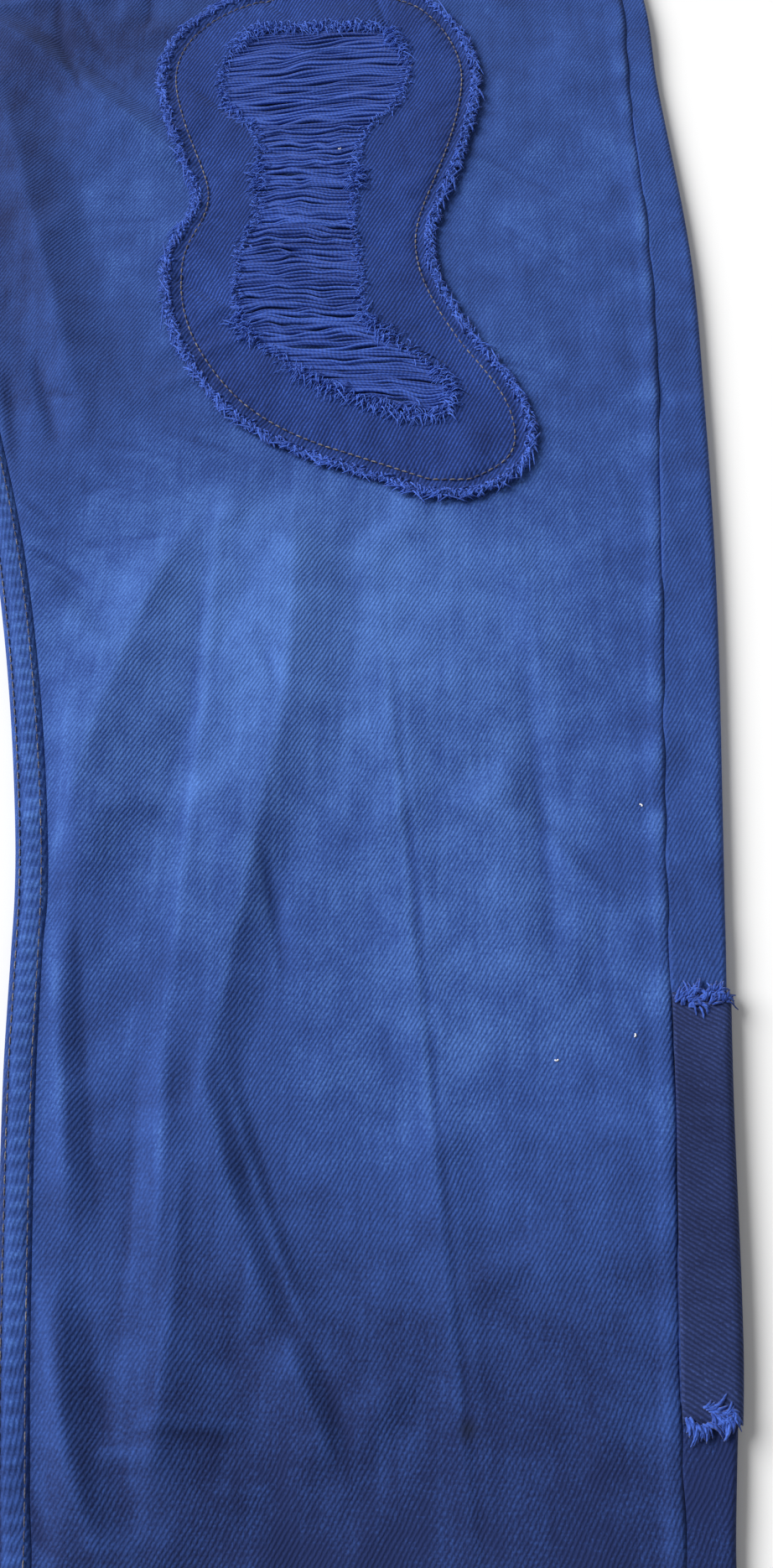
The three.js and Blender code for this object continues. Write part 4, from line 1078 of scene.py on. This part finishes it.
def add_patch_fray(name):
    """Frayed rim: three layers of yarn ends that lean over the patch's edge, longer and shorter in clumps."""
    rng = np.random.default_rng(7)
    shape = {"radius": 0.3, "sink": 0.5, "spread": 1.5, "base_height": lambda x, y: patch_face(x, y) + 0.1}
    pitch_inset_length_rise = (0.6, 0.5, 1.7, 0.3), (0.65, 1.3, 1.8, 0.5), (0.7, 2.2, 1.8, 0.6)
    layers = []
    for pitch, inset, length, rise in pitch_inset_length_rise:
        places, normals, run = even_steps(PATCH_RIM, pitch)
        places = places - normals * (inset + rng.normal(0, 0.5, (len(places), 1)))
        number = np.arange(len(places))[:, None]
        clump = 1 + 0.4 * uneven_waves(number, 3.1, 2, 9.7)
        layers.append(tufts(places, normals, run, rng, length=length * clump, rise=rise, **shape))
    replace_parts(add_layers(name, layers, rng, (0.1, 0.9)), name)


def add_rip_fluff(name):
    """Cut warp ends round the rip: short, brushed outwards over the patch and inwards over the threads."""
    rng = np.random.default_rng(9)
    shape = {"radius": 0.2, "sink": 0.4, "spread": 0.6, "base_height": lambda x, y: patch_face(x, y) + 0.05}
    # Pitch, way (1 is outwards), length and rise; the bushes are at the rip's ends and here and there
    all_round = (1.1, 1, 2.0, 0.5), (1.3, -1, 2.2, 0.7), (2.2, 1, 1.6, 1.0)
    in_bushes = (0.5, 1, 4.2, 1.2), (0.6, -1, 4.0, 1.4)
    layers = []
    for row in all_round + in_bushes:
        pitch, way, length, rise = row
        places, normals, run = even_steps(RIP_RIM, pitch)
        if row in in_bushes:
            bushy = (places[:, 1] > 14) | (places[:, 1] < -138) | (np.sin(places[:, 1] / 11) > 0.86)
            places, normals, run = places[bushy], normals[bushy], run[bushy]
        places = places + normals * rng.normal(0.2, 0.9, (len(places), 1))
        layers.append(tufts(places, way * normals, run, rng, length=length, rise=rise, **shape))
    add_layers(name, layers, rng, (0.4, 1.0))


# The patch on the back of the leg
def back_patch_section(y, away):
    """Points outside the left leg's back, from the outseam round the outer fold to the underside."""
    x, z, nx, nz = outer_section(y, panel_top(y), LIFT + 0 * y)
    x[:, :1] += SEAM_GAP
    under = np.linspace(0, 1, 14)[None, 1:]
    reach = outer_fold(y) - BACK_PATCH_REACH
    x_all = np.concatenate([x + nx * away, x[:, -1:] + (reach - x[:, -1:]) * under], 1)
    z_all = np.concatenate([z + nz * away, LIFT - away + 0 * y + 0 * under], 1)
    return x_all, z_all


def add_back_patch(name):
    """Back patch: a wall outside the leg's back panel, flat under the leg."""
    level = np.linspace(BACK_PATCH_FOOT, BACK_PATCH_HEAD, 60)[:, None]
    x, z = back_patch_section(level, WALL)
    x_near, z_near = back_patch_section(level, LAID_GAP / 2)
    y = level + 0 * x
    outer, inner = np.stack([x, y, z], -1), np.stack([x_near, y, z_near], -1)
    uv = np.stack([y, -section_length(x, z)], -1)
    fade_and_shade = -0.1 + 0.3 * slack(x * 1.5, y)
    add_cloth(name, outer, inner, uv, fade_and_shade, BACK_PATCH_DENIM)


def add_back_fray(name, edge, way):
    """Frayed end of the back patch: matted strands of yarn ends, over the strip and the outer fold."""
    rng = np.random.default_rng(21 if way > 0 else 22)
    strands, ends = 26, 6
    count = strands * ends
    y = edge - way * rng.uniform(-0.5, 3.5, strands).repeat(ends) + rng.normal(0, 0.35, count)
    seam, fold = outseam(y) + 1, outer_fold(y) - 0.5
    across = rng.uniform(0, 1, strands).repeat(ends) + rng.normal(0, 0.03, count)
    x = seam + (fold - seam) * np.clip(across, 0, 1)
    turn = rng.normal(0.6, 0.9, strands).repeat(ends) + rng.normal(0, 0.2, count)
    normals = np.stack([np.sin(turn) * 0.8 + 0.15, way * np.cos(turn)], -1)
    run = np.stack([normals[:, 1], -normals[:, 0]], -1)
    centre = outer_fold(edge) - 2.2

    def base_height(x, y):
        """Top of the strip, falling as a parabola over the outer fold."""
        return panel_top(y) + LIFT - 0.2 - 2.6 * fraction(0, 4, x - centre) ** 2

    shape = {"length": 3.4, "radius": 0.36, "rise": 0.6, "sink": 0.6, "spread": 0.25}
    layer = tufts(np.stack([x, y], -1), normals, run, rng, base_height=base_height, **shape)
    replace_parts(add_layers(name, [layer], rng, (0.0, 0.6)), name)


# Sewing
INSEAM_STITCH = {"length": 3.0, "radius": 0.18, "seed": 31}
FRONT_STITCH = {"length": 3.2, "radius": 0.26, "seed": 32}
FLY_STITCH = {"length": 3.2, "radius": 0.26, "seed": 33}
PATCH_STITCH = {"length": 2.6, "radius": 0.26, "seed": 34}
INSEAM_ROWS = 1.7, 7.9  # from the inner fold
POCKET_ROWS = 1.6, 7.5  # from the pocket's edge
BAND_ROWS = WAIST_SEAM + 2.2, WAIST_TOP - 2.2
FLY_BEND = 62  # level where the fly's rows start to turn


def stitch_row(places, length, radius, share=0.78):
    """Stitches along a line of places: each spans part of its pitch and arches out of the cloth.

    places is a dense line of points; stitches lie at an even pitch along it."""
    step = np.linalg.norm(np.diff(places, axis=0), axis=1)
    at = np.concatenate([[0], np.cumsum(step)])
    count = max(int(at[-1] / length), 1)
    t = np.linspace(-share / 2, share / 2, 6)[None, :]
    where = (np.arange(count)[:, None] + 0.5 + t) * at[-1] / count
    path = np.stack([np.interp(where, at, places[:, k]) for k in range(3)], -1)
    path[:, :, 2] += radius * (1.1 - 2.6 * np.abs(t / share * 2) ** 4 / 2)
    radii = radius * (1 - 0.45 * np.abs(t / share * 2) ** 3) + 0 * path[:, :, 0]
    return path, radii


def add_stitches(name, rows, length, radius, seed):
    """Rows of stitches as one piece."""
    rng = np.random.default_rng(seed)
    made = [stitch_row(places, length, radius) for places in rows]
    add_layers(name, made, rng, (0.0, 0.7), material=SEWING_THREAD, slot="denim")


def fell_line(side, across):
    """A line along the felled inseam, at a distance from the inner fold."""
    y = np.linspace(HEM + 1, FELL_END, 500)
    x = inner_fold(y) + SEAM_GAP + across
    z = panel_top(y) + SEAM_RAISE * soft_step(1.0, 4.0, across) - 0.25 * soft_step(2.6, 1.0, across)
    return np.stack([side * x, y, z], -1)


def front_line(side, folds, x, level, raise_by=0.0):
    """A line on a front panel."""
    z = front_height(folds, x, level) + raise_by
    return np.stack([side * x, front_y(level, x), z], -1)


def band_line(side, level_at):
    """A line along the front waistband."""
    share = np.linspace(0.01, 0.99, 120)
    level = level_at + 0 * share
    x = 0.5 + (outseam(level) - 1.5) * share
    return np.stack([side * x, front_y(level, x), BAND_HEIGHT - 0.15 + 0 * x], -1)


def sew_leg(word, side, folds):
    """Topstitching of one side: inseam, scoop pocket, hem and waistband."""
    inseam = [fell_line(side, across) for across in INSEAM_ROWS]
    add_stitches(f"inseam_stitches_{word}", inseam, **INSEAM_STITCH)
    level = np.linspace(POCKET_FOOT + 1, WAIST_SEAM - 1, 120)
    edge = front_outer(level)
    rows = [front_line(side, folds, edge - inset, level, SEAM_RAISE) for inset in POCKET_ROWS]
    hem = HEM_TOP + 1.0 + np.zeros(80)
    x = front_inner(hem) + (front_outer(hem) - front_inner(hem)) * np.linspace(0.02, 0.98, 80)
    rows.append(front_line(side, folds, x, hem))
    rows += [band_line(side, level_at) for level_at in BAND_ROWS]
    add_stitches(f"front_stitches_{word}", rows, **FRONT_STITCH)


def sew_fly(name, inset):
    """One row of the fly: down beside the centre front, then round a quarter ellipse to it."""
    turn = np.linspace(0, np.pi / 2, 30)
    x = np.concatenate([np.full(60, inset), inset * np.cos(turn)])
    straight = np.linspace(WAIST_SEAM - 1, FLY_BEND, 60)
    level = np.concatenate([straight, FLY_BEND - (inset + 12) * np.sin(turn)])
    add_stitches(name, [front_line(1, LEFT_FOLDS, x, level)], **FLY_STITCH)


def sew_patch(name):
    """Topstitching round the thigh patch, an even way in from its rim."""
    normals, _ = outline_normals(PATCH_RIM)
    line = smoothed(PATCH_RIM - normals * STITCH_INSET, 30)
    line = np.concatenate([line, line[:1]])
    z = patch_face(line[:, 0], line[:, 1]) - 0.22
    add_stitches(name, [np.column_stack([line, z])], **PATCH_STITCH)


LINT_PLACES = (255, -362), (234, -368), (262, -295), (173, -39)
LINT_LENGTH, LINT_RADIUS = 0.9, 0.24


def add_lint(name):
    """Specks of white lint, each a short curl, on the leg and, 2.4 mm higher, on the rip's threads."""
    rng = np.random.default_rng(41)
    specks = np.array(LINT_PLACES, float)
    t = np.linspace(0, 1, 6)[None, :]
    turn = rng.uniform(0, 6.3, (len(specks), 1))
    x = specks[:, :1] + LINT_LENGTH * t * np.cos(turn + 1.5 * t)
    y = specks[:, 1:] + LINT_LENGTH * t * np.sin(turn + 1.5 * t)
    on_rip = specks[:, 1:] > RIP["y"][0]
    z = thigh_height(x, y) + 0.2 + 2.4 * on_rip
    add_yarn(name, np.stack([x, y, z], -1), LINT_RADIUS + 0 * x, np.full(len(specks), 0.5), material=LINT)


# Build
add_front("front_left", 1, LEFT_FOLDS, fine_levels(HEM, WAIST_SEAM, 2.0, 6.5), 140)
add_front("front_right", -1, RIGHT_FOLDS, fine_levels(HEM, WAIST_SEAM, 4.0, 6.5), 80)
add_back("back_left", 1, fine_levels(HEM, YOKE_SEAM, 1.0, 6.5))
add_back("back_right", -1, fine_levels(HEM, YOKE_SEAM, 4.0, 6.5))
add_back_waistband("waistband_back")
for word, side in (("left", 1), ("right", -1)):
    add_back(f"yoke_{word}", side, np.linspace(YOKE_SEAM + SEAM_GAP, WAIST_SEAM - SEAM_GAP, 14), WALL)
    add_pocket_facing(f"pocket_facing_{word}", side)
    add_front_waistband(f"waistband_front_{word}", side)
    add_back_pocket(f"back_pocket_{word}", side)
    add_belt_loop(f"belt_loop_front_{word}", side * LOOP_FRONT_X, front_y, BAND_HEIGHT + SEAM_GAP, False)
    add_belt_loop(f"belt_loop_back_{word}", side * LOOP_BACK_X, back_y, 0.0, True)
add_belt_loop("belt_loop_centre_back", 0.0, back_y, 0.0, True)
add_button("waist_button")
add_thigh_patch("thigh_patch")
add_rip_threads("rip_threads")
add_rip_fluff("rip_fluff")
add_patch_fray("thigh_patch_fray")
add_back_patch("back_patch")
add_back_fray("back_patch_fray_upper", BACK_PATCH_HEAD, 1)
add_back_fray("back_patch_fray_lower", BACK_PATCH_FOOT, -1)
sew_leg("left", 1, LEFT_FOLDS)
sew_leg("right", -1, RIGHT_FOLDS)
sew_fly("fly_stitches_outer", 33.0)
sew_fly("fly_stitches_inner", 27.0)
sew_patch("patch_stitches")
add_lint("lint_specks")


# Stage, light and camera
def add_floor():
    """A wide white floor just under the cloth."""
    mesh = bpy.data.meshes.new("floor")
    half, low = 12.0, -0.0004
    corners = [(-half, -half, low), (half, -half, low), (half, half, low), (-half, half, low)]
    mesh.from_pydata(corners, [], [(0, 1, 2, 3)])
    mesh.materials.append(painted_floor("white_floor"))
    floor = bpy.data.objects.new("floor", mesh)
    bpy.context.scene.collection.objects.link(floor)


def add_light():
    """Even white light all round, and one wide lamp from the left."""
    world = bpy.data.worlds.new("studio")
    world.use_nodes = True
    background = world.node_tree.nodes["Background"]
    background.inputs["Color"].default_value = (1, 1, 1, 1)
    background.inputs["Strength"].default_value = 0.28
    bpy.context.scene.world = world
    lamp = bpy.data.lights.new("soft_key", "SUN")
    lamp.energy = 4.4
    lamp.angle = math.radians(38)
    key = bpy.data.objects.new("soft_key", lamp)
    key.rotation_euler = (0, math.radians(-54), math.radians(-20))
    bpy.context.scene.collection.objects.link(key)


PHOTO_HEIGHT = 1870  # pixels
FOCAL_PIXELS = 1822.0
TILT = math.radians(26)  # from straight down
AIM = np.array([190.0, -288.0, LEG_TOP])  # the garment point at the photo's middle
DISTANCE = FOCAL_PIXELS / 4.2  # 4.2 pixels to the millimetre there


def add_camera():
    """The photograph's camera: aimed at the leg from above, and tilted back towards the hem."""
    lens = bpy.data.cameras.new("camera")
    lens.sensor_width = 36.0
    lens.lens = 36.0 * FOCAL_PIXELS / PHOTO_HEIGHT
    lens.clip_start = 0.01
    camera = bpy.data.objects.new("camera", lens)
    back = np.array([0, -math.sin(TILT), math.cos(TILT)])
    camera.location = ((AIM + (0, Y_SHIFT, 0) + back * DISTANCE) / 1000).tolist()
    camera.rotation_euler = (TILT, 0, 0)
    bpy.context.scene.collection.objects.link(camera)
    bpy.context.scene.camera = camera


add_floor()
add_light()
add_camera()
bpy.context.scene.view_settings.view_transform = "Standard"
